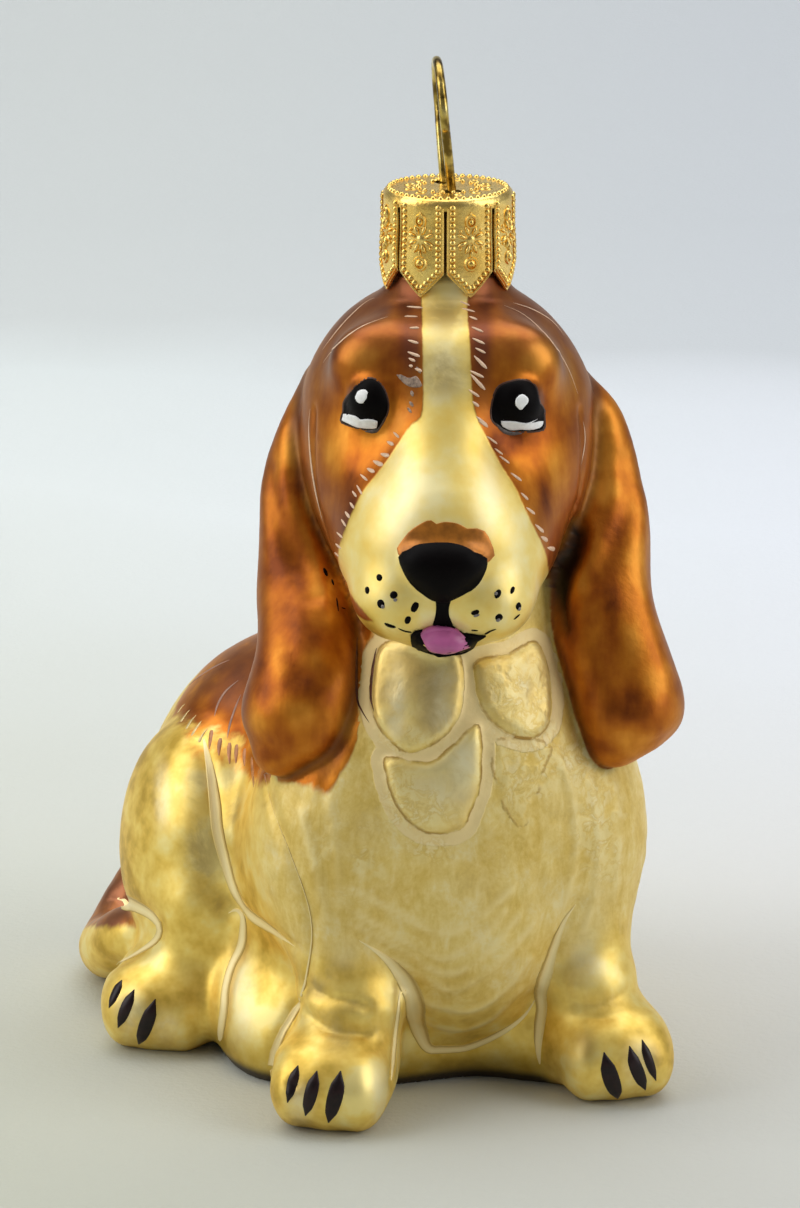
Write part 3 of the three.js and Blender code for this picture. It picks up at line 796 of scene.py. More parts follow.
def saddle_reach(at, surface, pad):
    """How far places lie inside the amber of the shoulders and back; outside it is below zero."""
    edge = surface.line(SADDLE_EDGE, 4)
    knots = bearing(edge)
    order = np.argsort(knots)
    turn = np.abs(bearing(at.points))
    edge_turns = np.append(knots[order], BACK_TURNS)
    edge_heights = np.append(edge[order, 2], BACK_HEIGHTS)
    above = at.height - np.interp(turn, edge_turns, edge_heights)
    saddle = np.minimum(above * 0.8 - 0.02, (turn - knots.min()) * 0.25)
    saddle = np.where(at.head_gap < 0.5, np.minimum(saddle, 2 - at.forward_head), saddle)
    return np.minimum(saddle, -1.25 - pad)


def burgundy_and_sheen_share(at, blaze):
    """Dark red-brown lacquer on the crown and along the blaze, and painted sheen of the same colour on what
    faces sideways.
    """
    dark_rim = np.exp(-((blaze + 1.0) / 0.9) ** 2) * rise(at.height, 64, 76) * (at.forward_head > 0)
    crown = rise(at.height + 0.25 * np.abs(at.points[:, 0]), 72.5, 80)
    # painted sheen: what faces sideways is darkened, as edges are at grazing light
    side_sheen = rise(np.abs(at.normals[:, 0]), 0.72, 1.0) * rise(at.height, 30, 40)
    return np.clip(0.75 * crown + 0.8 * dark_rim + 0.6 * side_sheen, 0, 1)


def mauve_share(at, saddle):
    """Dull mauve-brown lacquer: on the saddle and the tail, but not in the orange patch."""
    back = rise(saddle, 0.3, 3) * rise(at.head_gap, 0.3, 1)
    mauve = np.maximum(back, rise(-at.tail_gap, -1, 0)) * rise(at.ear_gap, 0.3, 1)
    u, v, across, down = ORANGE_PATCH
    off = ((at.pixels[:, 0] - u) / across) ** 2 + ((at.pixels[:, 1] - v) / down) ** 2
    return mauve * (1 - 0.85 * np.exp(-off) * (at.ear_gap > 0.3))


def moulded_relief(skin, surface):
    """The skin gets the relief of its mould, and is marked with the facts that its paint follows."""
    at = SkinPlaces(skin)
    relief, pad, flat_pad = chest_pads(at)
    press_lines(relief, at, surface)
    hollow = rise(outline_depth(at.pixels, EAR_SHADOW), -0.7, 0.9) * rise(-at.ear_gap, -3.5, -2.5)
    relief -= 0.9 * hollow
    ear = rise(-at.ear_gap, -0.8, 0.0)
    relief += ear * (0.42 * at.lumps(8.0, 3) + 0.03 * at.lumps(2.6, 7))
    face = rise(at.forward_head, 6, 10) * rise(-at.head_gap, -0.6, 0)
    relief += (1 - ear) * (1 - 0.75 * face) * (0.15 * at.lumps(7.0, 11) + 0.035 * at.lumps(2.2, 13))
    wash = rise(at.forward_chest, -9, -3) * rise(at.height, 7, 13) * rise(at.head_gap, 0, 1.5)
    wash *= 1 - rise(-at.leg_gap, -0.8, 0.4) * rise(17 - at.height, -2, 3)
    relief += 0.09 * wash * at.lumps(1.5, 17) * rise(at.ear_gap, 0, 1)
    brushed = brush_marks(at, surface)
    relief += 0.14 * brushed
    at.press(skin, relief)

    # how far places lie inside the amber lacquer
    blaze = np.minimum(outline_depth(at.pixels, CREAM_FACE), at.forward_head - 1.0)
    head_amber = np.minimum(np.minimum(1.8 - at.head_gap, -blaze), at.height - 51)
    saddle = saddle_reach(at, surface, pad)
    tail_amber = np.minimum(0.7 - at.tail_gap, (TAIL_EDGE - at.pixels[:, 1]) / PIXELS_PER_MM)
    amber = np.maximum.reduce([0.35 - at.ear_gap, head_amber, saddle, tail_amber])

    # painted shadow: the dark of the hollow, of the grooves beside the ears and of the edge on the table
    under_ear = rise(-np.minimum(at.torso_gap, at.head_gap), -1.4, -0.4)
    beside_ear = np.exp(-((at.ear_gap - 0.2) / 0.6) ** 2) * under_ear
    foot_gap = np.minimum(at.leg_gap, hind_feet(at.points))
    underside = rise(foot_gap, 0.2, 1.6) * rise(-at.torso_gap, -1.2, 0) * rise(at.ear_gap, 0, 1)
    table_edge_shadow = 0.95 * underside * rise(1.9 - at.height, 0, 1.2)
    shadow = np.maximum(np.maximum(hollow, 0.6 * beside_ear), table_edge_shadow)

    loose = rise(saddle - np.maximum(0.35 - at.ear_gap, head_amber), -3, 3) * rise(at.ear_gap, 0.3, 1.2)
    facts = {
        "amber": amber,
        "pad": pad,
        "low_pad": flat_pad,
        # lacquer thick and thin, with painted highlights and painted shade
        "glow_and_highlight": at.marks(AMBER_GLOWS_AND_HIGHLIGHTS) - at.marks(AMBER_DEPTHS_AND_SHADES),
        # painted shade and painted highlights on the gold
        "olive_shade": at.marks(OLIVE_SHADES),
        "pearl_and_highlight": at.marks(PEARL_HIGHLIGHTS),
        "burgundy_and_sheen": burgundy_and_sheen_share(at, blaze),
        "mauve": mauve_share(at, saddle),
        "shadow": shadow,
        "brushy": loose,
        "cream": rise(blaze, -0.2, 0.6) * (at.head_gap < 1.5),
        "wash": wash,
        "ear": ear,
        "brushed": brushed,
        "crumbly": at.marks(CRUMBS),
        # painted shade, darker towards the table between the feet
        "base_painted_shade": underside * rise(6.5 - at.height, 0, 5),
    }
    for name, values in facts.items():
        layer = skin.data.attributes.new(name, "FLOAT", "POINT")
        layer.data.foreach_set("value", np.asarray(values, np.float32))


# Drops and strokes of paint, laid on the skin by where they are in the photograph

# how far the underside of a drop and of a stroke is sunk in the glass, in mm
DROP_SUNK, STROKE_SUNK = 0.12, 0.08
HALF_WIDTH = 0.58  # of a stroke's width: a little over half, because its edges are sunk


def ball_of_paint(name, rings, around):
    bpy.ops.mesh.primitive_uv_sphere_add(segments=around, ring_count=rings, radius=1)
    piece = bpy.context.object
    piece.name = name
    return piece


def drop_of_paint(surface, outline, thickness, lift=0.0, rings=12, around=48, name="drop"):
    """A ball pressed into a flat drop of paint that fills an outline."""
    outline = smooth_line(outline, 6, closed=True)
    centre = outline.mean(0)
    spokes = outline - centre
    angles = np.arctan2(-spokes[:, 1], spokes[:, 0])
    order = np.argsort(angles)
    reach = np.linalg.norm(spokes, axis=1)[order]
    angles = angles[order]
    piece = ball_of_paint(name, rings, around)
    points = points_of(piece.data)
    for i, (x, y, z) in enumerate(points):
        angle = math.atan2(y, x)
        share = math.hypot(x, y)
        out = share * np.interp(angle, angles, reach, period=2 * math.pi)
        place, normal = surface.at(centre[0] + out * math.cos(angle), centre[1] - out * math.sin(angle))
        height = lift + thickness * abs(z) ** 0.7 if z > -1e-6 else -DROP_SUNK
        points[i] = place + normal * height
    place_points(piece.data, points)
    return piece


def stroke_of_paint(surface, line, widths, thickness, lift=0.0, rings=10, around=8):
    """A ball drawn out into a stroke along places on the skin, with its width in mm at even steps."""
    piece = ball_of_paint("stroke", rings, around)
    points = points_of(piece.data)
    sides = np.zeros(len(points))
    gaps = np.linalg.norm(np.diff(line, axis=0), axis=1)
    steps = np.concatenate(([0], np.cumsum(gaps))) / gaps.sum()
    for i, (x, y, z) in enumerate(points):
        t = math.acos(np.clip(z, -1, 1)) / math.pi
        here, ahead, behind = (
            np.array([np.interp(np.clip(t + off, 0, 1), steps, line[:, k]) for k in range(3)])
            for off in (0, 0.04, -0.04)
        )
        normal = sum((surface.nearest(p)[1] for p in (here, ahead, behind)), Vector()).normalized()
        across = np.cross(np.array(normal), ahead - behind)
        across /= max(np.linalg.norm(across), 1e-9)
        ring = min(1, math.hypot(x, y) * 1.4) ** 0.7
        width = HALF_WIDTH * np.interp(t, np.linspace(0, 1, len(widths)), widths)
        side = x / max(math.hypot(x, y), 1e-6)
        place, _ = surface.under(here + across * side * width * ring, normal)
        sides[i] = side * ring
        rising = y / max(math.hypot(x, y), 1e-6)
        height = lift + thickness * rising**0.5 * ring if rising > 1e-6 else -STROKE_SUNK
        points[i] = place + normal * height
    place_points(piece.data, points)
    layer = piece.data.attributes.new("across", "FLOAT", "POINT")
    layer.data.foreach_set("value", sides.astype(np.float32))
    return piece


# Paints and metals

class Finish:
    """A material: plain values stand on the shader's own sockets, and patterns are linked to it."""

    def __init__(self, name, **plain):
        self.material = bpy.data.materials.new(name)
        self.material.use_nodes = True
        self.tree = self.material.node_tree
        self.shader = self.tree.nodes["Principled BSDF"]
        for socket, value in plain.items():
            socket = socket.replace("_", " ").title().replace("Ior", "IOR")
            self.shader.inputs[socket].default_value = (*value, 1) if isinstance(value, tuple) else value

    def node(self, kind, settings=None, **inputs):
        """A node with its settings. Inputs go by their name, or by number as _0 and _1."""
        made = self.tree.nodes.new(kind)
        for key, value in (settings or {}).items():
            setattr(made, key, value)
        for key, value in inputs.items():
            socket = made.inputs[int(key[1:]) if key[0] == "_" else key.replace("_", " ")]
            self.feed(socket, value)
        return made

    def feed(self, socket, value):
        """A socket is linked to another one, or set to a plain value."""
        if isinstance(value, bpy.types.NodeSocket):
            self.tree.links.new(value, socket)
        elif isinstance(value, tuple) and len(value) == 3 and socket.type == "RGBA":
            socket.default_value = (*value, 1)
        else:
            socket.default_value = value

    def link(self, socket, value):
        self.feed(self.shader.inputs[socket], value)

    def fact(self, name):
        """What the skin was marked with under this name."""
        return self.node("ShaderNodeAttribute", {"attribute_name": name}).outputs["Fac"]

    def sum(self, a, b):
        return self.node("ShaderNodeMath", {"operation": "ADD"}, _0=a, _1=b).outputs[0]

    def times(self, a, b):
        return self.node("ShaderNodeMath", {"operation": "MULTIPLY"}, _0=a, _1=b).outputs[0]

    def step(self, value, start, end, low=0.0, high=1.0):
        """A soft step from low to high."""
        made = self.node("ShaderNodeMapRange", {"interpolation_type": "SMOOTHSTEP"}, Value=value)
        for key, number in (("From Min", start), ("From Max", end), ("To Min", low), ("To Max", high)):
            made.inputs[key].default_value = number
        return made.outputs[0]

    def step_even(self, value, start, end):
        """A straight slope from 0 to 1."""
        made = self.node("ShaderNodeMapRange", Value=value)
        made.inputs["From Min"].default_value = start
        made.inputs["From Max"].default_value = end
        return made.outputs[0]

    def mix(self, share, a, b):
        made = self.node("ShaderNodeMix", {"data_type": "RGBA"})
        self.feed(made.inputs[0], share)
        self.feed(made.inputs[6], a)
        self.feed(made.inputs[7], b)
        return made.outputs[2]

    def blend(self, share, a, b):
        made = self.node("ShaderNodeMix", {"data_type": "FLOAT"})
        self.feed(made.inputs[0], share)
        self.feed(made.inputs[2], a)
        self.feed(made.inputs[3], b)
        return made.outputs[0]

    def ramp(self, value, *stops):
        made = self.node("ShaderNodeValToRGB", Fac=value)
        band = made.color_ramp
        while len(band.elements) < len(stops):
            band.elements.new(0.5)
        for element, (place, colour) in zip(band.elements, stops):
            element.position = place
            element.color = (*colour, 1)
        return made.outputs[0]

    def clouds(self, size, stretch=1.0, rough=0.55, detail=3.0, twist=0.0):
        """The value of the shared clouds group: patches of this size in mm, drawn out along +Z."""
        made = self.tree.nodes.new("ShaderNodeGroup")
        made.node_tree = CLOUDS
        made.inputs["Size"].default_value = size
        made.inputs["Stretch"].default_value = stretch
        made.inputs["Roughness"].default_value = rough
        made.inputs["Detail"].default_value = detail
        made.inputs["Twist"].default_value = twist
        return made.outputs["Value"]

    def bump(self, height, depth_mm, strength=1.0):
        made = self.node("ShaderNodeBump", Height=height, Strength=strength, Distance=depth_mm * MM)
        self.link("Normal", made.outputs[0])


def clouds_group():
    """Cloudy patches by their size in mm, drawn out along +Z by the stretch."""
    group = bpy.data.node_groups.new("clouds", "ShaderNodeTree")
    usual = {"Size": 2.0, "Stretch": 1.0, "Roughness": 0.55, "Detail": 3.0, "Twist": 0.0}
    for name, value in usual.items():
        socket = group.interface.new_socket(name, in_out="INPUT", socket_type="NodeSocketFloat")
        socket.default_value = value
    group.interface.new_socket("Value", in_out="OUTPUT", socket_type="NodeSocketFloat")
    nodes, links = group.nodes, group.links
    given = nodes.new("NodeGroupInput")
    out = nodes.new("NodeGroupOutput")
    place = nodes.new("ShaderNodeTexCoord")
    scale = nodes.new("ShaderNodeMath")
    scale.operation = "DIVIDE"
    scale.inputs[0].default_value = 1000
    links.new(given.outputs["Size"], scale.inputs[1])
    squeeze = nodes.new("ShaderNodeMath")
    squeeze.operation = "DIVIDE"
    links.new(scale.outputs[0], squeeze.inputs[0])
    links.new(given.outputs["Stretch"], squeeze.inputs[1])
    factors = nodes.new("ShaderNodeCombineXYZ")
    for axis in (0, 1):
        links.new(scale.outputs[0], factors.inputs[axis])
    links.new(squeeze.outputs[0], factors.inputs[2])
    scaled = nodes.new("ShaderNodeVectorMath")
    scaled.operation = "MULTIPLY"
    links.new(place.outputs["Object"], scaled.inputs[0])
    links.new(factors.outputs[0], scaled.inputs[1])
    pattern = nodes.new("ShaderNodeTexNoise")
    pattern.inputs["Scale"].default_value = 1
    links.new(scaled.outputs[0], pattern.inputs["Vector"])
    links.new(given.outputs["Roughness"], pattern.inputs["Roughness"])
    links.new(given.outputs["Detail"], pattern.inputs["Detail"])
    links.new(given.outputs["Twist"], pattern.inputs["Distortion"])
    links.new(pattern.outputs[0], out.inputs[0])
    return group


CLOUDS = clouds_group()


class GlassClouds:
    """The unevenness of the lacquers, from broad clouds to specks."""

    def __init__(self, paint):
        self.large, self.middle, self.fine = paint.clouds(9), paint.clouds(3), paint.clouds(0.8)
        self.streaks = paint.clouds(1.6, stretch=4)
        self.patches = paint.clouds(5, rough=0.65, detail=6.0, twist=0.4)
        self.specks = paint.clouds(0.45, rough=0.7)
        self.grains = paint.clouds(1.5, rough=0.62, detail=4.0, twist=0.5)
        self.swirls = paint.clouds(1.5, stretch=2.5, rough=0.6, twist=1.2)


def amber_mask(paint, clouds):
    """The edge of the amber: crisp on the face and ears, brushed out thin over the back."""
    brushy = paint.fact("brushy")
    drift = paint.times(paint.times(paint.sum(clouds.streaks, -0.5), brushy), 1.5)
    ragged = paint.times(paint.sum(clouds.fine, -0.5), 0.2)
    edge = paint.sum(paint.sum(paint.fact("amber"), drift), ragged)
    return paint.step(paint.times(edge, paint.blend(brushy, 1.0, 0.3)), -0.12, 0.12)


def amber_brown(paint, clouds):
    """Amber-brown lacquer, thick and thin and with painted highlights and painted shade, with dark
    red-brown lacquer and its painted side sheen and with mauve, where they were laid over it.
    """
    finer = paint.sum(paint.times(clouds.streaks, 0.2), paint.times(clouds.middle, 0.28))
    tone = paint.sum(paint.times(clouds.large, 0.52), finer)
    # the painted highlights and painted shade of the marks
    tone = paint.sum(tone, paint.times(paint.fact("glow_and_highlight"), 0.125))
    brown = paint.ramp(
        tone,
        (0.32, (0.18, 0.036, 0.003)),
        (0.42, (0.37, 0.09, 0.005)),
        (0.53, (0.56, 0.175, 0.011)),
        (0.66, (0.78, 0.32, 0.035)),
    )
    # dark red-brown lacquer, and the painted sheen on what faces sideways
    brown = paint.mix(paint.times(paint.fact("burgundy_and_sheen"), 0.8), brown, (0.14, 0.042, 0.026))
    dull = paint.times(paint.fact("mauve"), paint.step(tone, 0.47, 0.6, 0.85, 0.25))
    return paint.mix(dull, brown, (0.30, 0.12, 0.06))


def pale_gold(paint, clouds, inside):
    """Pale gold lacquer, creamier on the muzzle and pearly on the pads, with painted green-gold shade and
    painted pearly highlights.
    """
    gold = paint.ramp(
        paint.sum(paint.times(clouds.large, 0.5), paint.times(clouds.middle, 0.5)),
        (0.38, (0.58, 0.37, 0.05)),
        (0.47, (0.82, 0.56, 0.105)),
        (0.54, (0.93, 0.69, 0.17)),
        (0.62, (0.97, 0.80, 0.30)),
    )
    cream = paint.ramp(
        paint.sum(paint.times(clouds.large, 0.6), paint.times(clouds.middle, 0.4)),
        (0.38, (0.92, 0.64, 0.13)),
        (0.5, (0.96, 0.75, 0.24)),
        (0.62, (0.98, 0.85, 0.42)),
    )
    gold = paint.mix(paint.fact("cream"), gold, cream)
    # painted green-gold shade, then painted pearly highlights together with the pearly pads
    olive_shade = paint.times(paint.fact("olive_shade"), paint.step(clouds.patches, 0.36, 0.58, 0.45, 1.0))
    pearl_and_highlight = paint.sum(paint.fact("pearl_and_highlight"), paint.times(inside, 0.45))
    pearl_and_highlight = paint.times(pearl_and_highlight, paint.step(clouds.patches, 0.4, 0.62, 1.0, 0.45))
    gold = paint.mix(paint.times(olive_shade, 0.78), gold, (0.36, 0.25, 0.08))
    return paint.mix(paint.times(pearl_and_highlight, 0.6), gold, (0.95, 0.89, 0.60))


def cream_wash(paint, clouds):
    """The matt wash over the chest, from ochre to cream."""
    finer = paint.sum(paint.times(clouds.swirls, 0.35), paint.times(clouds.specks, 0.15))
    return paint.ramp(
        paint.sum(paint.times(clouds.patches, 0.5), finer),
        (0.36, (0.65, 0.44, 0.09)),
        (0.46, (0.77, 0.56, 0.15)),
        (0.54, (0.85, 0.66, 0.24)),
        (0.64, (0.90, 0.77, 0.40)),
    )


def broken_wash(paint, clouds):
    """The wash where it has broken into crumbs."""
    return paint.ramp(
        clouds.grains,
        (0.42, (0.90, 0.80, 0.48)),
        (0.48, (0.66, 0.46, 0.12)),
        (0.51, (0.80, 0.60, 0.20)),
        (0.58, (0.90, 0.78, 0.40)),
    )


def pad_crust(paint, clouds, pad):
    """The brown crust along the rims of the pads, broken on the flat one."""
    low_pad = paint.sum(paint.fact("low_pad"), paint.times(paint.sum(clouds.grains, -0.5), 0.9))
    crust = paint.times(paint.step(pad, -0.12, 0.02), paint.step(pad, 0.06, 0.34, 1.0, 0.0))
    low_crust = paint.times(paint.step(low_pad, -0.15, 0.0), paint.step(low_pad, 0.05, 0.3, 1.0, 0.0))
    broken = paint.times(paint.times(low_crust, paint.step(clouds.middle, 0.47, 0.56)), 0.8)
    return paint.times(paint.sum(crust, broken), paint.step(clouds.middle, 0.42, 0.58, 0.15, 1.0))


def painted_glass():
    """Silvered glass under amber-brown lacquer, pale gold lacquer and a matt cream wash."""
    paint = Finish(
        "painted_glass",
        coat_weight=0.06,
        coat_roughness=0.2,
        specular_ior_level=0.38,
        specular_tint=(1, 0.9, 0.76),
    )
    clouds = GlassClouds(paint)
    pad = paint.sum(paint.fact("pad"), paint.times(paint.sum(clouds.grains, -0.5), 0.5))
    inside = paint.step(pad, 0.05, 0.45)
    gold = pale_gold(paint, clouds, inside)

    # the wash, thin on the pads, then the brush marks, the strap round the pads, the crumbs and the crust
    crumbly = paint.times(paint.fact("crumbly"), paint.step(clouds.middle, 0.40, 0.54))
    on_pads = paint.sum(0.15, paint.times(crumbly, 0.5))
    wash = paint.times(paint.fact("wash"), paint.blend(inside, 0.85, on_pads))
    gold = paint.mix(wash, gold, cream_wash(paint, clouds))
    brushed = paint.times(paint.fact("brushed"), paint.step(clouds.middle, 0.36, 0.56, 0.25, 0.8))
    gold = paint.mix(brushed, gold, (0.93, 0.76, 0.34))
    strap = paint.times(paint.step(pad, -1.3, -1.15), paint.step(pad, -0.02, 0.06, 1.0, 0.0))
    gold = paint.mix(strap, gold, (0.90, 0.71, 0.34))
    gold = paint.mix(paint.times(crumbly, 0.5), gold, broken_wash(paint, clouds))
    crust = pad_crust(paint, clouds, pad)
    gold = paint.mix(paint.times(crust, 0.8), gold, (0.42, 0.24, 0.045))
    # painted shade low down between the feet
    gold = paint.mix(paint.times(paint.fact("base_painted_shade"), 0.45), gold, (0.36, 0.25, 0.02))

    amber, shadow = amber_mask(paint, clouds), paint.fact("shadow")
    colour = paint.mix(amber, gold, amber_brown(paint, clouds))
    # the painted shadow goes nearly black over every colour
    paint.link("Base Color", paint.mix(shadow, colour, (0.008, 0.002, 0.001)))

    # the silvering shows through the lacquers and hardly through the wash, and hardly at all under the
    # painted shadow
    matt = paint.sum(strap, paint.times(wash, 0.85))
    pearly = paint.blend(paint.fact("cream"), 0.62, 0.45)
    ambery = paint.blend(paint.fact("ear"), 0.78, 0.66)
    metal = paint.blend(amber, paint.blend(matt, pearly, 0.22), ambery)
    paint.link("Metallic", paint.times(metal, paint.step(shadow, 0.0, 1.0, 1.0, 0.1)))
    satin = paint.sum(paint.blend(matt, 0.42, 0.5), paint.times(paint.sum(clouds.fine, -0.5), 0.08))
    glossy = paint.sum(paint.blend(paint.fact("ear"), 0.29, 0.36), paint.times(clouds.middle, 0.14))
    paint.link("Roughness", paint.blend(amber, satin, glossy))
    layers = paint.sum(paint.times(amber, 0.2), paint.times(clouds.fine, 0.12))
    height = paint.sum(paint.times(strap, 0.5), layers)
    height = paint.sum(height, paint.times(paint.times(clouds.patches, paint.fact("wash")), 1.1))
    grainy = paint.times(paint.times(clouds.grains, crumbly), 0.9)
    height = paint.sum(height, paint.sum(paint.times(crust, 0.4), grainy))
    paint.bump(height, 0.16, 0.7)
    return paint.material


def channel_paint():
    """Cream in the channels, with a fine umber line of painted shade along one side."""
    paint = Finish("channel_cream")
    cloud = paint.clouds(1.6)
    across = paint.sum(paint.times(paint.fact("across"), 0.5), paint.sum(0.45, paint.times(cloud, 0.1)))
    cream = paint.ramp(
        across,
        (0.0, (0.66, 0.48, 0.14)),
        (0.14, (0.86, 0.69, 0.30)),
        (0.4, (0.95, 0.80, 0.42)),
        (0.7, (0.88, 0.70, 0.31)),
        # the fine umber line of painted shade along one side
        (0.87, (0.50, 0.33, 0.085)),
        (0.98, (0.68, 0.49, 0.14)),
    )
    paint.link("Base Color", cream)
    paint.link("Roughness", paint.sum(0.38, paint.times(cloud, 0.1)))
    paint.link("Metallic", 0.3)
    paint.bump(cloud, 0.03, 0.4)
    return paint.material


def plain_paint(name, colour, roughness, coat=0.1, speck=0.05, size=0.5, metallic=0.0, shine=0.5):
    """A brushed-on paint with a slight unevenness of tone and gloss."""
    paint = Finish(name, coat_weight=coat, coat_roughness=0.15, specular_ior_level=shine)
    cloud = paint.clouds(size)
    darker = tuple(c * (1 - speck) for c in colour)
    paint.link("Base Color", paint.ramp(cloud, (0.35, darker), (0.65, colour)))
    paint.link("Roughness", paint.sum(roughness - 0.05, paint.times(cloud, 0.1)))
    paint.link("Metallic", metallic)
    paint.bump(cloud, 0.03, 0.4)
    return paint.material


def gloss_black():
    return plain_paint("gloss_black", (0.002, 0.001, 0.001), 0.5, coat=0.0, speck=0.3, shine=0.07)


def thinned_black():
    return plain_paint("thinned_black", (0.11, 0.075, 0.06), 0.4, speck=0.7, size=0.25)


def dry_brush_grey():
    return plain_paint("dry_brush_grey", (0.30, 0.27, 0.25), 0.5, coat=0.0, speck=0.5, size=0.3)


def eye_white_paint():
    return plain_paint("eye_white", (1.0, 1.0, 0.98), 0.4, speck=0.12, size=0.5)


def eye_shade():
    return plain_paint("eye_shade", (0.07, 0.024, 0.008), 0.35, speck=0.5, size=0.4, metallic=0.3)


def warm_white():
    return plain_paint("warm_white", (0.86, 0.60, 0.40), 0.4, speck=0.2, size=0.5)


def nose_brown():
    return plain_paint("nose_brown", (0.55, 0.19, 0.02), 0.3, speck=0.45, size=1.5, metallic=0.55)


def rose():
    return plain_paint("rose", (0.56, 0.13, 0.34), 0.3, speck=0.15, size=1.2)


def scuffed_grey():
    return plain_paint("scuffed_grey", (0.40, 0.28, 0.20), 0.45, speck=0.6, size=0.3)


# dark umber for painted shade in a groove
def umber_shade_line():
    colour = (0.13, 0.035, 0.010)
    return plain_paint("umber_shade_line", colour, 0.4, coat=0.0, speck=0.5, size=0.6, metallic=0.3)


def claw_brown():
    colour = (0.018, 0.006, 0.006)
    return plain_paint("claw_brown_black", colour, 0.35, coat=0.0, speck=0.6, size=0.9, shine=0.3)


def saddle_brown():
    colour = (0.55, 0.23, 0.08)
    return plain_paint("saddle_brown", colour, 0.42, coat=0.1, speck=0.4, size=1.0, metallic=0.2)


def comb_gold():
    colour = (0.80, 0.64, 0.27)
    return plain_paint("saddle_comb", colour, 0.45, coat=0.0, speck=0.3, size=1.0, metallic=0.3)


# pale pink-brown paint for the painted glints over the shoulder
def shoulder_glint_paint():
    return plain_paint("shoulder_glint", (0.42, 0.24, 0.17), 0.4, speck=0.3, size=0.8, metallic=0.3)


def stamped_gold():
    paint = Finish("stamped_gold", metallic=1.0, specular_tint=(1.0, 0.95, 0.85))
    cloud, fine = paint.clouds(2.5), paint.clouds(0.25)
    paint.link("Base Color", paint.ramp(cloud, (0.35, (0.90, 0.57, 0.13)), (0.65, (1.0, 0.74, 0.24))))
    paint.link("Roughness", paint.sum(0.2, paint.times(fine, 0.16)))
    paint.bump(paint.sum(cloud, paint.times(fine, 0.12)), 0.2, 0.7)
    return paint.material


def brass_wire():
    paint = Finish("brass_wire", metallic=1.0)
    cloud, draw = paint.clouds(2.6), paint.clouds(0.2, stretch=20)
    brass = paint.ramp(
        cloud,
        (0.38, (0.16, 0.10, 0.02)),
        (0.47, (0.56, 0.40, 0.10)),
        (0.62, (0.86, 0.70, 0.27)),
    )
    paint.link("Base Color", brass)
    paint.link("Roughness", paint.sum(0.16, paint.times(draw, 0.16)))
    paint.bump(draw, 0.01, 0.4)
    return paint.material


def lacquered_neck():
    paint = Finish("lacquered_neck", metallic=0.6, specular_ior_level=0.2)
    cloud = paint.clouds(2)
    paint.link("Base Color", paint.ramp(cloud, (0.35, (0.10, 0.035, 0.004)), (0.65, (0.28, 0.13, 0.015))))
    paint.link("Roughness", paint.sum(0.45, paint.times(cloud, 0.1)))
    return paint.material


# The room: a pale sweep and soft boxes

def pale_cloth():
    """Pale cloth, a little greener at the left, that grows lighter and then darker with distance: painted
    light and shade of the room.
    """
    paint = Finish("pale_cloth", roughness=0.75, specular_ior_level=0.2)
    weave = paint.clouds(0.7, detail=2.0)
    wide = paint.clouds(120, detail=2.0)
    place = paint.node("ShaderNodeSeparateXYZ", _0=paint.node("ShaderNodeTexCoord").outputs["Object"])
    back = paint.sum(place.outputs["Y"], paint.times(paint.sum(wide, -0.5), 0.12))
    slanted = paint.sum(back, paint.times(place.outputs["X"], 0.25))
    behind = paint.step_even(slanted, -0.1, 0.5)
    # painted light in a band across the middle distance, painted shade in front and far behind
    left = paint.ramp(
        behind,
        (0.1, (0.49, 0.505, 0.42)),
        (0.25, (0.58, 0.60, 0.535)),
        (0.5, (0.70, 0.74, 0.725)),
        (0.62, (0.67, 0.715, 0.705)),
        (0.69, (0.59, 0.62, 0.61)),
    )
    right = paint.ramp(
        behind,
        (0.1, (0.53, 0.535, 0.50)),
        (0.25, (0.65, 0.655, 0.645)),
        (0.5, (0.71, 0.74, 0.785)),
        (0.62, (0.68, 0.71, 0.75)),
        (0.69, (0.56, 0.59, 0.615)),
    )
    paint.link("Base Color", paint.mix(paint.step(place.outputs["X"], -0.06, 0.08), left, right))
    paint.bump(weave, 0.2, 0.4)
    return paint.material


# in metres: the table's size, how far back it reaches, and the parts of the bend behind it
TABLE_WIDE, TABLE_DEEP, TABLE_BACK = 3.0, 1.6, 0.4
BEND_PARTS, BEND_DEGREES, BEND_LENGTH = 12, 6, 0.09


def table_and_backdrop():
    """A flat sheet that curves up behind the ornament: its back edge is extruded round and up."""
    bpy.ops.mesh.primitive_plane_add(size=1)
    sweep = bpy.context.object
    sweep.name = "table_and_backdrop"
    sweep.data.transform(Matrix.Diagonal((TABLE_WIDE, TABLE_DEEP, 1, 1)))
    sweep.data.transform(Matrix.Translation((0, TABLE_BACK - TABLE_DEEP / 2, 0)))
    bpy.ops.object.mode_set(mode="EDIT")
    bpy.ops.mesh.select_all(action="DESELECT")
    bpy.ops.object.mode_set(mode="OBJECT")
    for edge in sweep.data.edges:
        edge.select = all(sweep.data.vertices[i].co.y > TABLE_BACK - 0.01 for i in edge.vertices)
    bpy.ops.object.mode_set(mode="EDIT")
    bpy.ops.mesh.select_mode(type="EDGE")
    for part in range(1, BEND_PARTS + 1):
        angle = math.radians(part * BEND_DEGREES)
        move = (0, BEND_LENGTH * math.cos(angle), BEND_LENGTH * math.sin(angle))
        bpy.ops.mesh.extrude_region_move(TRANSFORM_OT_translate={"value": move})
    bpy.ops.mesh.extrude_region_move(TRANSFORM_OT_translate={"value": (0, 0.3, 1.2)})
    bpy.ops.object.mode_set(mode="OBJECT")
    bpy.ops.object.shade_smooth()
    sweep.data.materials.append(pale_cloth())


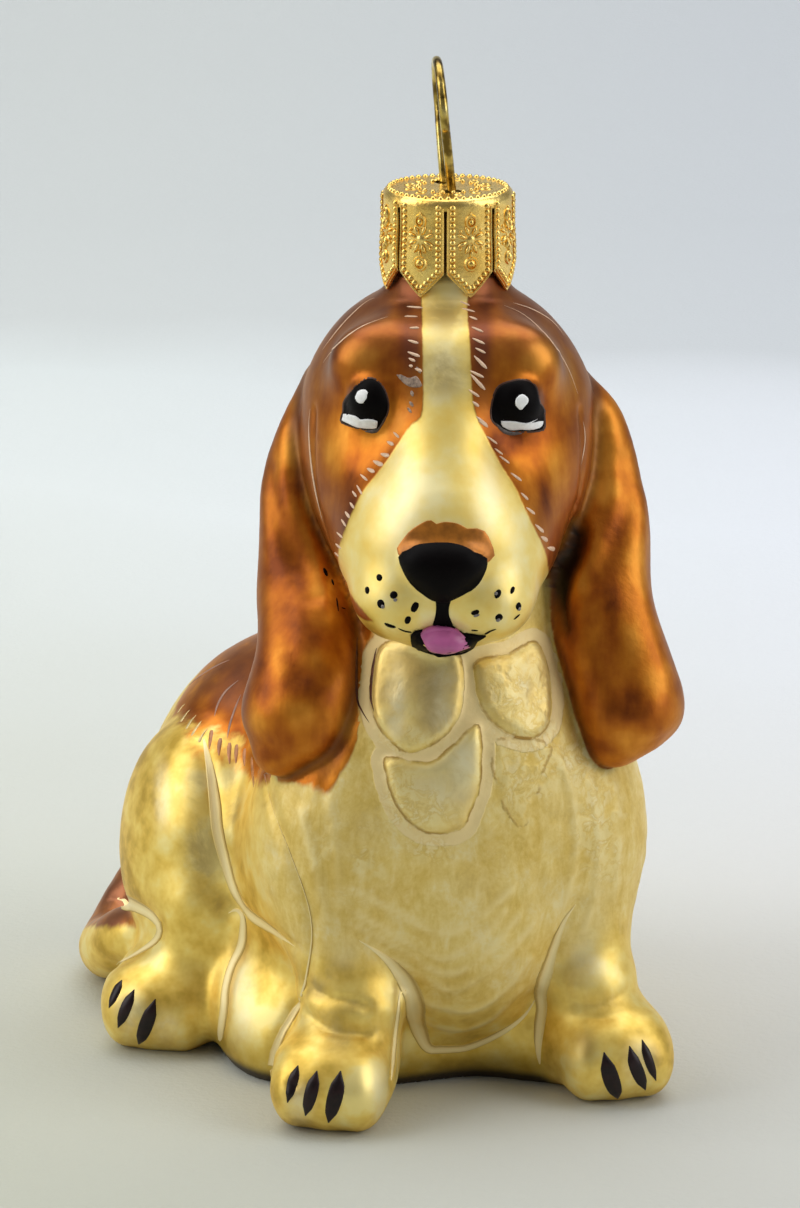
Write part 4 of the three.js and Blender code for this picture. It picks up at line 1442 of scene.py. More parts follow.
def soft_box(name, place, aim, width, height, power, colour=(1, 1, 1)):
    place, aim = Vector(place), Vector(aim)
    bpy.ops.object.light_add(type="AREA", location=place)
    lamp = bpy.context.object
    lamp.name = name
    lamp.rotation_euler = (aim - place).to_track_quat("-Z", "Y").to_euler()
    lamp.data.shape = "RECTANGLE"
    lamp.data.size, lamp.data.size_y = width, height
    lamp.data.energy = power
    lamp.data.color = colour


# the light of the room, from behind the camera to the far wall: share of the way, and level
ROOM_LIGHT = ((0, 0.18), (0.22, 0.24), (0.5, 0.35), (1, 0.42))


def soft_light():
    middle = (0, 0, 0.045)
    soft_box("soft_box_left", (-0.6, -0.12, 0.4), middle, 0.5, 0.7, 2.65)
    soft_box("soft_box_right", (0.6, -0.2, 0.36), middle, 0.42, 0.65, 1.95)
    soft_box("soft_box_top", (0, 0.3, 0.9), (0, 0.15, 0), 1.2, 0.8, 7.0)
    world = bpy.data.worlds.new("studio")
    bpy.context.scene.world = world
    world.use_nodes = True
    nodes, links = world.node_tree.nodes, world.node_tree.links
    towards = nodes.new("ShaderNodeSeparateXYZ")
    links.new(nodes.new("ShaderNodeTexCoord").outputs["Generated"], towards.inputs[0])
    share = nodes.new("ShaderNodeMapRange")
    share.inputs["From Min"].default_value = -1
    links.new(towards.outputs["Y"], share.inputs["Value"])
    band = nodes.new("ShaderNodeValToRGB")
    links.new(share.outputs[0], band.inputs[0])
    while len(band.color_ramp.elements) < len(ROOM_LIGHT):
        band.color_ramp.elements.new(0.5)
    for element, (place, level) in zip(band.color_ramp.elements, ROOM_LIGHT):
        element.position = place
        element.color = (0.93 * level, 0.95 * level, level, 1)
    links.new(band.outputs[0], nodes["Background"].inputs["Color"])
    bpy.context.scene.view_settings.view_transform = "Standard"


# Painted features, in the photograph's pixels

EYES = {
    "right": (
        (366.4, 378.9), (373, 378.9), (380.2, 384.1), (385, 391.8), (387.4, 400.9), (387.9, 408),
        (386, 415.2), (382.6, 421.5), (378.3, 428.2), (373, 429.6), (363.5, 428.9), (353.9, 426.6),
        (346.7, 424.2), (342.2, 421.9), (341.2, 417.6), (343.6, 410.9), (343.9, 403.3), (346.7, 397.5),
        (351, 391.8), (356.8, 385.6), (362.5, 381.4),
    ),
    "left": (
        (498.4, 388), (504.5, 383.9), (515.7, 380.8), (523.9, 380.3), (531.5, 382.9), (536.1, 388),
        (538.2, 395.6), (540.2, 403.8), (543.8, 408.4), (543.8, 416), (544.3, 425.2), (542, 429.6),
        (531, 431), (515.7, 431), (504.5, 429.5), (499.4, 426.2), (492.8, 420.1), (491.7, 410.9),
        (493.3, 400.7), (495.3, 393.6),
    ),
}
EYE_WHITES = {
    "right": (
        (344.8, 412.8), (349.1, 413.8), (354.9, 414.8), (358.7, 416.7), (361.6, 418.6), (367, 418),
        (375.9, 419.1), (377.4, 421.5), (377.1, 426.7), (375, 427.9), (363.5, 427.2), (356.3, 426.2),
        (349.1, 423.4), (342.9, 420.5), (343.9, 416.5),
    ),
    "left": (
        (500.9, 420.1), (508.1, 420.1), (515.7, 420.6), (523.4, 422.1), (531, 421.6), (537.7, 419.1),
        (541.7, 416.8), (542.5, 421.1), (541.2, 425.7), (537.7, 428.3), (531, 429.3), (520.8, 428.5),
        (509.6, 429.5), (504, 427.2), (500.4, 424.4),
    ),
}
EYE_GLINTS = {
    "right": (
        (357.3, 394.7), (358.7, 391.8), (361.6, 390.4), (365.4, 389.9), (368.3, 392.8), (367.2, 395.5),
        (367.3, 397.5), (365.4, 400.9), (363.5, 403), (359.7, 402.8), (357.3, 400.4), (356.3, 397.5),
    ),
    "left": (
        (515.7, 399.7), (518.8, 395.6), (522.3, 394.3), (525.9, 396.6), (527.7, 399.7), (526.9, 402.8),
        (523.9, 406.3), (520.8, 409.4), (517.8, 407.9), (515.7, 404.8),
    ),
}
# smears of thinned black at the corners of the eyes: line and widths
EYE_SMEARS = {
    "right": (((386.5, 410), (384.5, 418), (380, 425), (374.5, 431.5), (362, 431)), (1.5, 4, 5, 4, 1.5)),
    "left": (((492.5, 413), (495.5, 421), (501, 429), (510, 433.5), (526, 433)), (1.5, 3.5, 4.5, 4, 1.5)),
}
NOSE = (
    (407.7, 550.8), (416.4, 545.4), (430.5, 543.2), (446.8, 542.7), (460.9, 545.4), (471.7, 550.8),
    (478.4, 555.8), (482.6, 553), (486.4, 557.3), (486.6, 566), (481.5, 579), (475, 587.7),
    (464.1, 594.2), (452.2, 599.8), (444, 602), (435, 601), (429.4, 598.5), (418.6, 590.9),
    (409.9, 582.2), (403.4, 570.3), (399, 558.4), (401.2, 553),
)
NOSE_STEM = (
    (434, 594), (443, 593), (453, 594), (450.5, 602), (448.9, 609), (449.4, 617), (453.2, 627),
    (443, 629), (432.8, 627), (435.2, 616), (436, 608), (435.5, 601),
)
NOSE_BROWN = (
    (396.5, 551), (399, 545), (403.4, 538.9), (411, 530.2), (425.1, 521.5), (431.6, 520.4),
    (434.8, 524.2), (444.6, 522), (457.6, 523.7), (468.5, 529.1), (475, 528), (484.7, 531.3),
    (490.2, 541), (494.5, 555), (488, 562), (470, 572), (443, 576), (415, 570), (401, 557),
)
MOUTH = (
    (411, 631.6), (420.7, 630), (433.8, 625.6), (452.2, 625.6), (460.9, 631.1), (473.9, 633.8),
    (485.8, 634.3), (482.6, 638.1), (476, 640.5), (475, 644.1), (468.5, 650.6), (457.6, 654.9),
    (442.4, 656.4), (427.2, 653.3), (414.2, 646.8), (411.5, 641),
)
TONGUE = (
    (419.1, 632.1), (427.2, 627.8), (435.9, 625.8), (450, 626.7), (458.7, 630), (463, 636.5),
    (476, 641.4), (468.5, 644.1), (457.6, 647.3), (450, 650), (439.2, 649.5), (430.5, 647.3),
    (427.2, 640.8), (422.9, 635.4),
)
# a stroke: its line, and its widths at even steps along it
LIP_LINES = (
    (((383.5, 622.5), (389, 625.5), (397, 627.5)), (3.4, 4.6, 3)),
    (((397, 627.5), (404.5, 631), (413, 632.4)), (1.0, 1.6, 2.2)),
    (((484, 635), (490.2, 631.1), (497.7, 628.6)), (3, 2, 0.8)),
    (((470.6, 630), (478.8, 630.6)), (1.4, 1.8, 1)),
    (((513, 620), (520.5, 613.7)), (1.2, 2.2, 1)),
)
WHISKER_DOTS = (
    (((366.4, 586), (368, 594.5)), (3, 5, 3)),
    (((377.2, 574), (381.4, 581)), (3, 5.4, 3.4)),
    (((379.2, 599), (382.2, 609)), (5, 6.6, 5)),
    (((391, 591.5), (396.4, 598.4)), (4, 6.4, 4.4)),
    (((411, 605.8), (418.6, 608.5)), (7.5, 8.5, 7.5)),
    (((404.2, 619.6), (411.2, 620.8)), (5.5, 7.5, 5.5)),
    (((500.5, 589), (495.2, 599)), (3.5, 5, 2.8)),
    (((514.2, 586), (510.6, 594.5)), (2.6, 3.8, 1.8)),
    (((521, 603), (516, 609.5)), (4.5, 6, 4.5)),
    (((470.6, 614.2), (479.8, 610.8)), (3.2, 3.8, 3.2)),
    (((502.6, 614.6), (495.6, 620.5)), (5, 6.4, 4.5)),
)
WHISKER_GLINTS = (
    (((383.4, 604.4), (382.2, 609)), (2, 2.6, 1.2)),
    (((395, 598), (395.6, 602)), (2.2, 2.8, 1.4)),
    (((496.8, 591.5), (495.2, 595.5)), (1.8, 2.4, 1.2)),
    (((520.4, 607.2), (517.6, 610.6)), (2, 2.8, 1.6)),
    (((500.4, 618.6), (495.8, 621.2)), (2.2, 3, 1.6)),
    (((473, 616.4), (480, 614.4)), (1.2, 2, 1.2)),
)
# a claw: its line and greatest width
CLAWS = (
    (((122.5, 979), (116, 991), (108.5, 1009)), 8.5),
    (((135, 988), (127, 1005), (117.5, 1029)), 9.5),
    (((156, 997), (149, 1017), (138.5, 1045)), 11.5),
    (((298.5, 1064), (293, 1081), (287, 1104)), 8.5),
    (((317.5, 1069), (312, 1089), (305, 1117)), 10.5),
    (((341, 1069), (336, 1093), (328, 1124)), 12),
    (((603.5, 1050), (609, 1072), (618, 1099)), 13),
    (((629, 1044), (635, 1065), (646, 1091)), 10.5),
    (((641.5, 1038), (648, 1058), (656.5, 1082)), 7.5),
)
# hair strokes: from the thin end to the thick end
HAIR_STROKES = (
    ((405, 306.4), (424.5, 308), 2.6),
    ((403, 316.3), (419, 316.8), 2),
    ((408.5, 328), (420, 327.7), 2.4),
    ((406.8, 339.8), (419.3, 343.6), 2.6),
    ((406.4, 351.4), (421, 357), 2.8),
    ((408, 357.8), (415.8, 361.6), 2.4),
    ((408.5, 365.4), (413, 366.5), 2.6),
    ((414.1, 368.2), (422.7, 371.7), 2.6),
    ((392.9, 431.5), (399.6, 438.2), 2.4),
    ((386.2, 441), (394.3, 445.3), 3.2),
    ((379.5, 453.5), (390, 456.2), 3.6),
    ((371.8, 460.2), (383.8, 465.9), 4),
    ((366.1, 467.8), (375.2, 472.6), 3.4),
    ((359.4, 473.5), (368, 481.2), 2.2),
    ((356.1, 484), (362.8, 495.5), 2),
    ((351.8, 490.3), (357, 497.4), 2.2),
    ((349.4, 501.7), (354.6, 508.9), 2.6),
    ((344.6, 510.8), (350.3, 518.5), 3),
    ((340.8, 518.5), (346.5, 527.1), 2.4),
    ((336, 531.4), (343.2, 538.5), 2.2),
    ((335, 543.3), (341.7, 549.1), 2.4),
    ((334.6, 552.4), (339.3, 556.7), 2.2),
    ((458.9, 301), (470.5, 305.8), 2.4),
    ((460.6, 307.9), (476.1, 312.2), 3),
    ((468.4, 316.1), (477.9, 320), 2.8),
    ((470.5, 326.4), (484.3, 332.5), 3),
    ((471, 337.6), (486, 344.5), 3.2),
    ((474.4, 347.5), (486.5, 353.6), 3),
    ((472.7, 354.4), (488.2, 370), 4.2),
    ((468.4, 369.9), (485.2, 378.2), 3.6),
    ((469.2, 372.5), (486.5, 391.5), 4.4),
    ((467.5, 388.9), (480.4, 397.5), 3.4),
    ((471.8, 401), (479.6, 407), 2.8),
    ((475, 415.3), (489, 427.6), 3.2),
    ((477.4, 420), (489, 427.9), 2.2),
    ((485.3, 435.3), (498.4, 444.7), 2),
    ((493.7, 447.9), (503.7, 455.3), 2),
    ((498.4, 455.3), (510.5, 464.2), 2.2),
    ((509.5, 472.1), (522.6, 481.6), 2.8),
    ((520, 492.1), (528.9, 500.5), 2.8),
    ((525.3, 506.8), (535.8, 514.7), 2.8),
    ((534.2, 523.7), (544.7, 533), 3.4),
    ((540, 536.3), (548.4, 541), 4),
    ((546.3, 547.4), (555.3, 549.5), 4),
)
# long pale lines over the crown and down the ears, painted reflections along the mould's seams: line and
# width
GLINT_LINES = (
    (((320.7, 366), (337, 345), (360.8, 327), (391.9, 315)), 2.2),
    (((320.7, 352), (342.6, 324), (364.5, 303), (377, 297)), 1.6),
    (((497.7, 303), (523, 314), (547, 336), (567, 366), (580, 400)), 1.8),
    (((510.5, 302), (532, 309), (552, 321), (566, 338)), 1.3),
    (((583, 420), (585, 440), (581, 466)), 1.4),
    (((310.5, 404), (308.8, 428), (310.8, 461), (316, 494), (324, 526)), 2.6),
)
# painted shade, dark umber, in the groove between the ear and the strap of the first pad
STRAP_GROOVE_SHADES = (
    (((357.5, 634), (356.5, 664), (357, 697), (362, 711), (371, 725)), (1, 2.6, 2.6, 2, 1)),
    (((377, 646), (373, 668), (371, 697), (375, 714)), (1.6, 5, 4.4, 1.4)),
)
SCUFF = (
    (395, 372), (401, 374.5), (409, 378), (416, 376), (420.5, 381.5), (422, 386.5), (414, 387.5),
    (407, 385.5), (400, 379.5),
)
SCUFF_MARKS = (
    (((411, 390), (413, 397)), (1.5, 4, 1.5)),
    (((409, 401), (413.5, 407)), (1.5, 3.4, 1.4)),
    (((407, 407), (412, 413.5)), (1.4, 3, 1.2)),
    (((416, 366), (421, 374)), (1.4, 3, 1.6)),
)
EAR_CHIPS = (
    (((323.6, 567), (327.5, 577)), (2.5, 5, 2.5)),
    (((331.6, 578.4), (333.8, 586)), (1.6, 3, 1.4)),
    (((336.4, 596), (338.6, 613)), (1.2, 2.2, 1)),
    (((341, 607.5), (346, 609)), (0.8, 1.3, 0.8)),
)
# a claw's share of its greatest width, from its root to its tip: widest a little before the middle
CLAW_SHAPE = tuple(0.15 + 0.85 * math.sin(math.pi * (step / 16) ** 0.85) ** 0.8 for step in range(17))
# brush ends under the saddle
SADDLE_FINGERS = (
    (((212, 728), (210, 742), (209, 752)), (4, 3.6, 1)),
    (((221, 736), (219, 748), (219, 758)), (4, 3.6, 1)),
    (((230, 740), (229, 753), (230, 767)), (4, 3.6, 1)),
    (((237, 742), (236, 756), (236, 766)), (3.6, 3.4, 1)),
    (((245, 746), (244, 758), (245, 768)), (3.6, 3.2, 1)),
    (((251, 750), (252, 768), (254, 788)), (3.8, 3.4, 1)),
    (((257, 758), (259, 774), (262, 792)), (3.6, 3.2, 1)),
    (((263, 764), (265, 778), (268, 788)), (3.2, 2.8, 1)),
)
# pale gaps of the comb that runs on from the saddle towards the back
SADDLE_COMB = (
    (((186, 703), (181, 708), (177, 714)), (0.8, 2.6, 4)),
    (((192, 708), (186, 714), (180, 723)), (0.8, 2.8, 4)),
    (((198, 713), (191, 721), (185, 731)), (0.8, 2.8, 4)),
    (((203, 719), (197, 727), (190, 738)), (0.8, 2.8, 4)),
    (((209, 727), (203, 734), (198, 744)), (0.8, 2.6, 4)),
)
# pale pink-brown lines over the shoulder and along its top, painted glints
SHOULDER_GLINT_LINES = (
    (((214, 718), (218, 704), (226, 691), (240, 679)), (1, 3.2, 3.2, 1.4)),
    (((227, 740), (230, 724), (236, 706), (242, 692)), (1, 3, 3, 1)),
    (((186, 688), (200, 676), (216, 666), (232, 659)), (0.8, 2.6, 2.6, 0.8)),
)


def strokes(name, surface, rows, thickness, lift=0.0, rings=8):
    """Strokes of paint, by their lines and widths in the photograph's pixels, as one piece."""
    made = []
    for knots, widths in rows:
        widths = np.array(widths) / PIXELS_PER_MM
        made.append(stroke_of_paint(surface, surface.line(knots), widths, thickness, lift, rings))
    return joined(made, name)


def spread(outline, share):
    """An outline made larger about its middle."""
    middle = np.mean(outline, axis=0)
    return [tuple(middle + (np.array(place) - middle) * share) for place in outline]


def broader(rows, share):
    """Strokes with their widths scaled."""
    return [(line, tuple(width * share for width in widths)) for line, widths in rows]


# the shares by which marks are laid on a little larger than they were read
EYE_SHADE_SPREAD, TONGUE_SPREAD = 1.07, 1.12
DOTS_SPREAD, GLINTS_SPREAD, CLAWS_SPREAD, CHANNELS_SPREAD, FINGERS_SPREAD = 1.3, 1.5, 1.3, 1.25, 1.35


def paint_eye(surface, side, paints):
    """The eye, its brown edge, the grey smear at its corner, its white and its glint."""
    black, shade_brown, grey, white = paints
    outline = spread(EYES[side], EYE_SHADE_SPREAD)
    shade = drop_of_paint(surface, outline, 0.03, name=f"eye_shade_{side}", rings=14)
    finished(shade, shade_brown)
    eye = drop_of_paint(surface, EYES[side], 0.14, 0.02, name=f"eye_paint_{side}", rings=14)
    smear = strokes(f"eye_smear_{side}", surface, [EYE_SMEARS[side]], 0.05)
    eye_white = drop_of_paint(surface, EYE_WHITES[side], 0.1, 0.16, rings=8, name=f"eye_white_{side}")
    name = f"eye_glint_{side}"
    glint = drop_of_paint(surface, EYE_GLINTS[side], 0.08, 0.18, rings=8, around=24, name=name)
    finished(eye, black, [f"eye_{side}"])
    finished(smear, grey)
    finished(eye_white, white)
    finished(glint, white)


def paint_nose(surface, black):
    """The nose with its stem, on a patch of warmer brown."""
    patch = drop_of_paint(surface, NOSE_BROWN, 0.06, 0.06, rings=24, name="nose_brown")
    nose = drop_of_paint(surface, NOSE, 0.16, 0.1, rings=20, name="nose_paint")
    stem = drop_of_paint(surface, NOSE_STEM, 0.1, 0.03, rings=10, around=32, name="nose_stem")
    finished(patch, nose_brown())
    finished(joined([nose, stem], "nose_paint"), black, ["nose"])


def paint_mouth(surface, black):
    mouth = drop_of_paint(surface, MOUTH, 0.12, 0.2, rings=18, name="mouth_paint")
    lips = strokes("lip_lines", surface, LIP_LINES, 0.08)
    finished(joined([mouth, lips], "mouth_paint"), black, ["mouth"])


def paint_tongue(surface):
    outline = spread(TONGUE, TONGUE_SPREAD)
    tongue = drop_of_paint(surface, outline, 0.2, 0.4, rings=18, name="tongue_paint")
    apply_modifier(tongue, "SMOOTH", factor=0.5, iterations=12)
    finished(tongue, rose(), ["tongue"])


def paint_whiskers(surface, black):
    dots = strokes("whisker_dots", surface, broader(WHISKER_DOTS, DOTS_SPREAD), 0.08)
    finished(dots, black)
    glints = strokes("whisker_glints", surface, broader(WHISKER_GLINTS, GLINTS_SPREAD), 0.05, 0.06)
    finished(glints, dry_brush_grey())


# pixels: right of the first and above the second, the short hairs are finer by this share
FINER_RIGHT_OF, FINER_ABOVE, FINER = 455, 400, 0.72


def paint_hairs_and_glint_lines(surface):
    """Short hair strokes down both edges of the blaze, and long pale lines of painted reflection."""
    paint = warm_white()
    hairs = []
    for thin, thick, width in HAIR_STROKES:
        if thin[0] > FINER_RIGHT_OF and thin[1] < FINER_ABOVE:
            width *= FINER
        hairs.append(((thin, thick), (0.8, width, width * 1.25, width * 0.8)))
    finished(strokes("hair_strokes", surface, hairs, 0.07), paint)
    # the long pale lines are painted reflections
    fine = [(line, (0.5, width, width, 0.5)) for line, width in GLINT_LINES]
    finished(strokes("painted_glint_lines", surface, fine, 0.04, rings=24), paint)


def paint_worn_places(surface, black):
    """The grey scuff above the right eye, and the dark chips of the right ear."""
    patch = drop_of_paint(surface, SCUFF, 0.05, rings=8, around=32)
    marks = strokes("scuff_marks", surface, SCUFF_MARKS, 0.05)
    finished(joined([patch, marks], "scuffed_paint"), scuffed_grey())
    finished(strokes("ear_chips", surface, EAR_CHIPS, 0.05), black)


# painted shade in the groove between the ear and the first pad
def paint_strap_groove_shade(surface):
    lines = strokes("strap_groove_shade", surface, STRAP_GROOVE_SHADES, 0.06, 0.02, rings=24)
    finished(lines, umber_shade_line())


def paint_claws(surface):
    rows = [(line, tuple(width * share for share in CLAW_SHAPE)) for line, width in CLAWS]
    claws = strokes("claws", surface, broader(rows, CLAWS_SPREAD), 0.12, rings=24)
    finished(claws, claw_brown())


def paint_channels(surface):
    channels = []
    for line, widths in channel_lines(surface):
        channels.append(stroke_of_paint(surface, line, widths * CHANNELS_SPREAD, 0.05, 0.02, 60, 14))
    finished(joined(channels, "cream_channels"), channel_paint())


def paint_saddle(surface):
    """Brush ends of the saddle, the comb behind them, and the painted glint lines over the shoulder."""
    fingers = strokes("saddle_fingers", surface, broader(SADDLE_FINGERS, FINGERS_SPREAD), 0.03)
    finished(fingers, saddle_brown())
    finished(strokes("saddle_comb", surface, SADDLE_COMB, 0.03), comb_gold())
    lines = strokes("shoulder_glint_lines", surface, SHOULDER_GLINT_LINES, 0.04, rings=20)
    finished(lines, shoulder_glint_paint())


def painted_features(surface):
    """Everything that is painted on the glass with a fine brush."""
    black = gloss_black()
    eye_paints = (black, eye_shade(), thinned_black(), eye_white_paint())
    for side in EYES:
        paint_eye(surface, side, eye_paints)
    paint_nose(surface, black)
    paint_mouth(surface, black)
    paint_tongue(surface)
    paint_whiskers(surface, black)
    paint_hairs_and_glint_lines(surface)
    paint_worn_places(surface, black)
    paint_strap_groove_shade(surface)
    paint_claws(surface)
    paint_channels(surface)
    paint_saddle(surface)


# The stamped cap: one tab is modelled, and copied round

CAP_TOP, CAP_BOTTOM, CAP_RADIUS = 88.5, 78.9, 6.3
TAB_COUNT = 8
TAB_HALF = CAP_RADIUS * math.pi / TAB_COUNT  # half a tab with its share of the slits, along the round
SLIT_HALF, TAB_POINT = 0.13, 2.35
SLIT_HOLE, SLIT_HOLE_AT = 0.33, 8.15
CAP_TURN = -2.6  # degrees that the slits are turned from the line of sight
SHEET = 0.28
SHOULDER_DROP, SHOULDER_IN = 0.75, 0.7  # what the shoulder's round takes off the height and the radius
SHOULDER_BEND = 1.1  # the length of sheet in the shoulder's round
SHOULDER_UP = CAP_TOP - SHOULDER_DROP - CAP_BOTTOM  # where the round starts, up from a tab's point
WIRE_HOLES, WIRE_HOLE_RADIUS = 2.3, 0.95  # the wire's two holes, either side of the cap's middle
FLOWER_AT, PETAL_COUNT, PETALS_OUT = 5.65, 8, 0.95
TOP_PETAL_COUNT, TOP_PETALS_OUT = 12, 3.72
# degrees that the loop is turned from the line of sight, at the cap and above, and that it leans
LOOP_TURN, LOOP_TURN_TOP, LOOP_LEAN = 9, 3.5, 5


def tab_half_width(up):
    """Half the width of a tab's sheet at a height above its point."""
    straight = TAB_HALF - SLIT_HALF
    if up < TAB_POINT:
        return straight * (up / TAB_POINT) ** 0.92
    off = abs(up - SLIT_HOLE_AT)
    if off < SLIT_HOLE:
        return TAB_HALF - math.sqrt(SLIT_HOLE**2 - off**2)
    return straight if up < SLIT_HOLE_AT else TAB_HALF


def cap_profile(up):
    """Radius and height of the sheet at a length up from a tab's point, over the shoulder and the top."""
    flat = (CAP_RADIUS + 0.12 * math.sin(min(up, 6) / 6 * math.pi), CAP_BOTTOM + up)
    if up <= SHOULDER_UP:
        return flat
    bend = min((up - SHOULDER_UP) / SHOULDER_BEND, 1) * math.pi / 2
    radius = CAP_RADIUS - SHOULDER_IN * (1 - math.cos(bend))
    height = CAP_TOP - SHOULDER_DROP + SHOULDER_DROP * math.sin(bend)
    return radius - max(0, up - SHOULDER_UP - SHOULDER_BEND), height


def on_tab(x, up, out=0.0):
    """A place on the first tab: x round from its middle, up from its point, out from the sheet."""
    radius, z = cap_profile(up)
    angle = x / CAP_RADIUS
    return Vector(((radius + out) * math.sin(angle), -(radius + out) * math.cos(angle), z))


def tab_sheet():
    """The plain sheet of one tab and its share of the top, from rows of points at chosen lengths."""
    ups = [0.02, 0.3, 0.7, 1.2, 1.8, 2.34, 2.36, 3.2, 4.2, 5.2, 6.2, 7.2, 7.8]
    ups += [SLIT_HOLE_AT - SLIT_HOLE * k for k in (1, 0.9, 0.7, 0.35, 0)]
    ups += [SLIT_HOLE_AT + SLIT_HOLE * k for k in (0.35, 0.7, 0.9, 1)]
    ups += [SHOULDER_UP + SHOULDER_BEND * k for k in (0, 0.2, 0.4, 0.6, 0.8, 1)]
    ups += [SHOULDER_UP + SHOULDER_BEND + k for k in (0.5, 1.5, 2.5, 3.5, 4.5, 5.2)]
    columns = 13
    bpy.ops.mesh.primitive_grid_add(x_subdivisions=columns - 1, y_subdivisions=len(ups) - 1, size=2)
    sheet = bpy.context.object
    points = points_of(sheet.data)
    for i, (x, y, _) in enumerate(points):
        row = round((y + 1) / 2 * (len(ups) - 1))
        up = ups[row]
        points[i] = on_tab(x * tab_half_width(up), up)
    place_points(sheet.data, points)
    return sheet


def edge_path(inset):
    """A line inside the edge of a tab, down one side, round the point and up the other."""
    straight = TAB_HALF - SLIT_HALF
    x, turn, tip = straight - inset, TAB_POINT + 0.41 * inset, 1.41 * inset
    return [(-x, 8.75), (-x, turn), (0, tip), (x, turn), (x, 8.75)]


def along_path(path, pitch):
    """Even steps along a line on a tab."""
    gaps = [math.dist(a, b) for a, b in zip(path[:-1], path[1:])]
    reach = np.concatenate(([0], np.cumsum(gaps)))
    steps = np.linspace(0, reach[-1], round(reach[-1] / pitch) + 1)
    return [tuple(np.interp(step, reach, [p[k] for p in path]) for k in (0, 1)) for step in steps]


def small_ring(segments):
    bpy.ops.mesh.primitive_torus_add(
        major_segments=segments, minor_segments=6, major_radius=1, minor_radius=0.3
    )
    return bpy.context.object


def small_bead(radius=1):
    bpy.ops.mesh.primitive_uv_sphere_add(segments=8, ring_count=5, radius=radius)
    return bpy.context.object


def raised(x, up, half_sizes, turn=0.0, kind="bead"):
    """A bead or a ring standing on the first tab."""
    piece = small_ring(14) if kind == "ring" else small_bead()
    facing = Matrix.Rotation(x / CAP_RADIUS, 4, "Z") @ Matrix.Rotation(math.pi / 2, 4, "X")
    stand = facing @ Matrix.Rotation(turn, 4, "Z")
    piece.data.transform(Matrix.Translation(on_tab(x, up)) @ stand @ Matrix.Diagonal((*half_sizes, 1)))
    return piece


def wire_along(name, places, radius, roundness):
    """A round wire along a row of places, with closed ends."""
    curve = bpy.data.curves.new(name, "CURVE")
    curve.dimensions = "3D"
    curve.bevel_depth = radius
    curve.bevel_resolution = roundness
    curve.use_fill_caps = True
    spline = curve.splines.new("POLY")
    spline.points.add(len(places) - 1)
    for point, place in zip(spline.points, places):
        point.co = (*place, 1)
    wire = bpy.data.objects.new(name, curve)
    bpy.context.collection.objects.link(wire)
    select_only([wire])
    bpy.ops.object.convert(target="MESH")
    return bpy.context.object


def tab_rim():
    """The smooth raised rim of a tab: a fine wire along its edge."""
    places = [on_tab(x, up, 0.02) for x, up in along_path(edge_path(0.15), 0.6)]
    return wire_along("tab_rim", places, 0.13, 1)


def tab_ornament():
    """A ring, a flower of eight petals and a larger ring, down the middle of a tab."""
    made = [raised(0, 7.4, (0.5, 0.58, 0.7), kind="ring"), raised(0, 7.35, (0.3, 0.36, 0.3))]
    made += [raised(0, 3.3, (0.58, 0.58, 0.5), kind="ring"), raised(0, 3.35, (0.46, 0.46, 0.42))]
    made += [raised(0, 8.1, (0.14, 0.24, 0.2)), raised(0, 4.25, (0.17, 0.5, 0.28))]
    made.append(raised(0, FLOWER_AT, (0.4, 0.4, 0.14)))
    for k in range(PETAL_COUNT):
        angle = (k + 0.5) / PETAL_COUNT * 2 * math.pi
        x, up = PETALS_OUT * math.cos(angle), FLOWER_AT + PETALS_OUT * math.sin(angle)
        made.append(raised(x, up, (0.52, 0.22, 0.32), turn=angle))
    for x, up in ((1.02, 6.5), (-1.02, 6.5), (1.05, 4.8), (-1.05, 4.8)):
        made.append(raised(x, up, (0.18, 0.18, 0.2)))
    return made


def copied(piece, move):
    """A copy of a piece with its points moved."""
    copy = piece.copy()
    copy.data = piece.data.copy()
    copy.data.transform(move)
    bpy.context.collection.objects.link(copy)
    return copy


def tab_relief():
    """The rim, the row of beads inside it and the ornament of one tab."""
    bead = raised(0, 5, (0.31, 0.31, 0.24))
    made = [tab_rim()]
    for x, up in along_path(edge_path(0.56), 0.57):
        move = Matrix.Translation(on_tab(x, up)) @ Matrix.Rotation(x / CAP_RADIUS, 4, "Z")
        made.append(copied(bead, move @ Matrix.Translation(-on_tab(0, 5))))
    bpy.data.objects.remove(bead)
    return joined(made + tab_ornament(), "tab_relief")


def merged(piece, distance):
    """Points that lie together are merged, and all faces are turned outwards."""
    bpy.ops.object.mode_set(mode="EDIT")
    bpy.ops.mesh.select_all(action="SELECT")
    bpy.ops.mesh.remove_doubles(threshold=distance)
    bpy.ops.mesh.normals_make_consistent(inside=False)
    bpy.ops.object.mode_set(mode="OBJECT")
    return piece


def drill_wire_holes(cap):
    """Two holes through the top, where the turned loop goes down into the neck."""
    for y in (-WIRE_HOLES, WIRE_HOLES):
        place = (-y * math.sin(math.radians(LOOP_TURN)), y, CAP_TOP)
        bpy.ops.mesh.primitive_cylinder_add(vertices=20, radius=WIRE_HOLE_RADIUS, depth=3, location=place)
        drill = bpy.context.object
        bake_place(drill)
        apply_modifier(cap, "BOOLEAN", operation="DIFFERENCE", object=drill, solver="EXACT")
        bpy.data.objects.remove(drill)


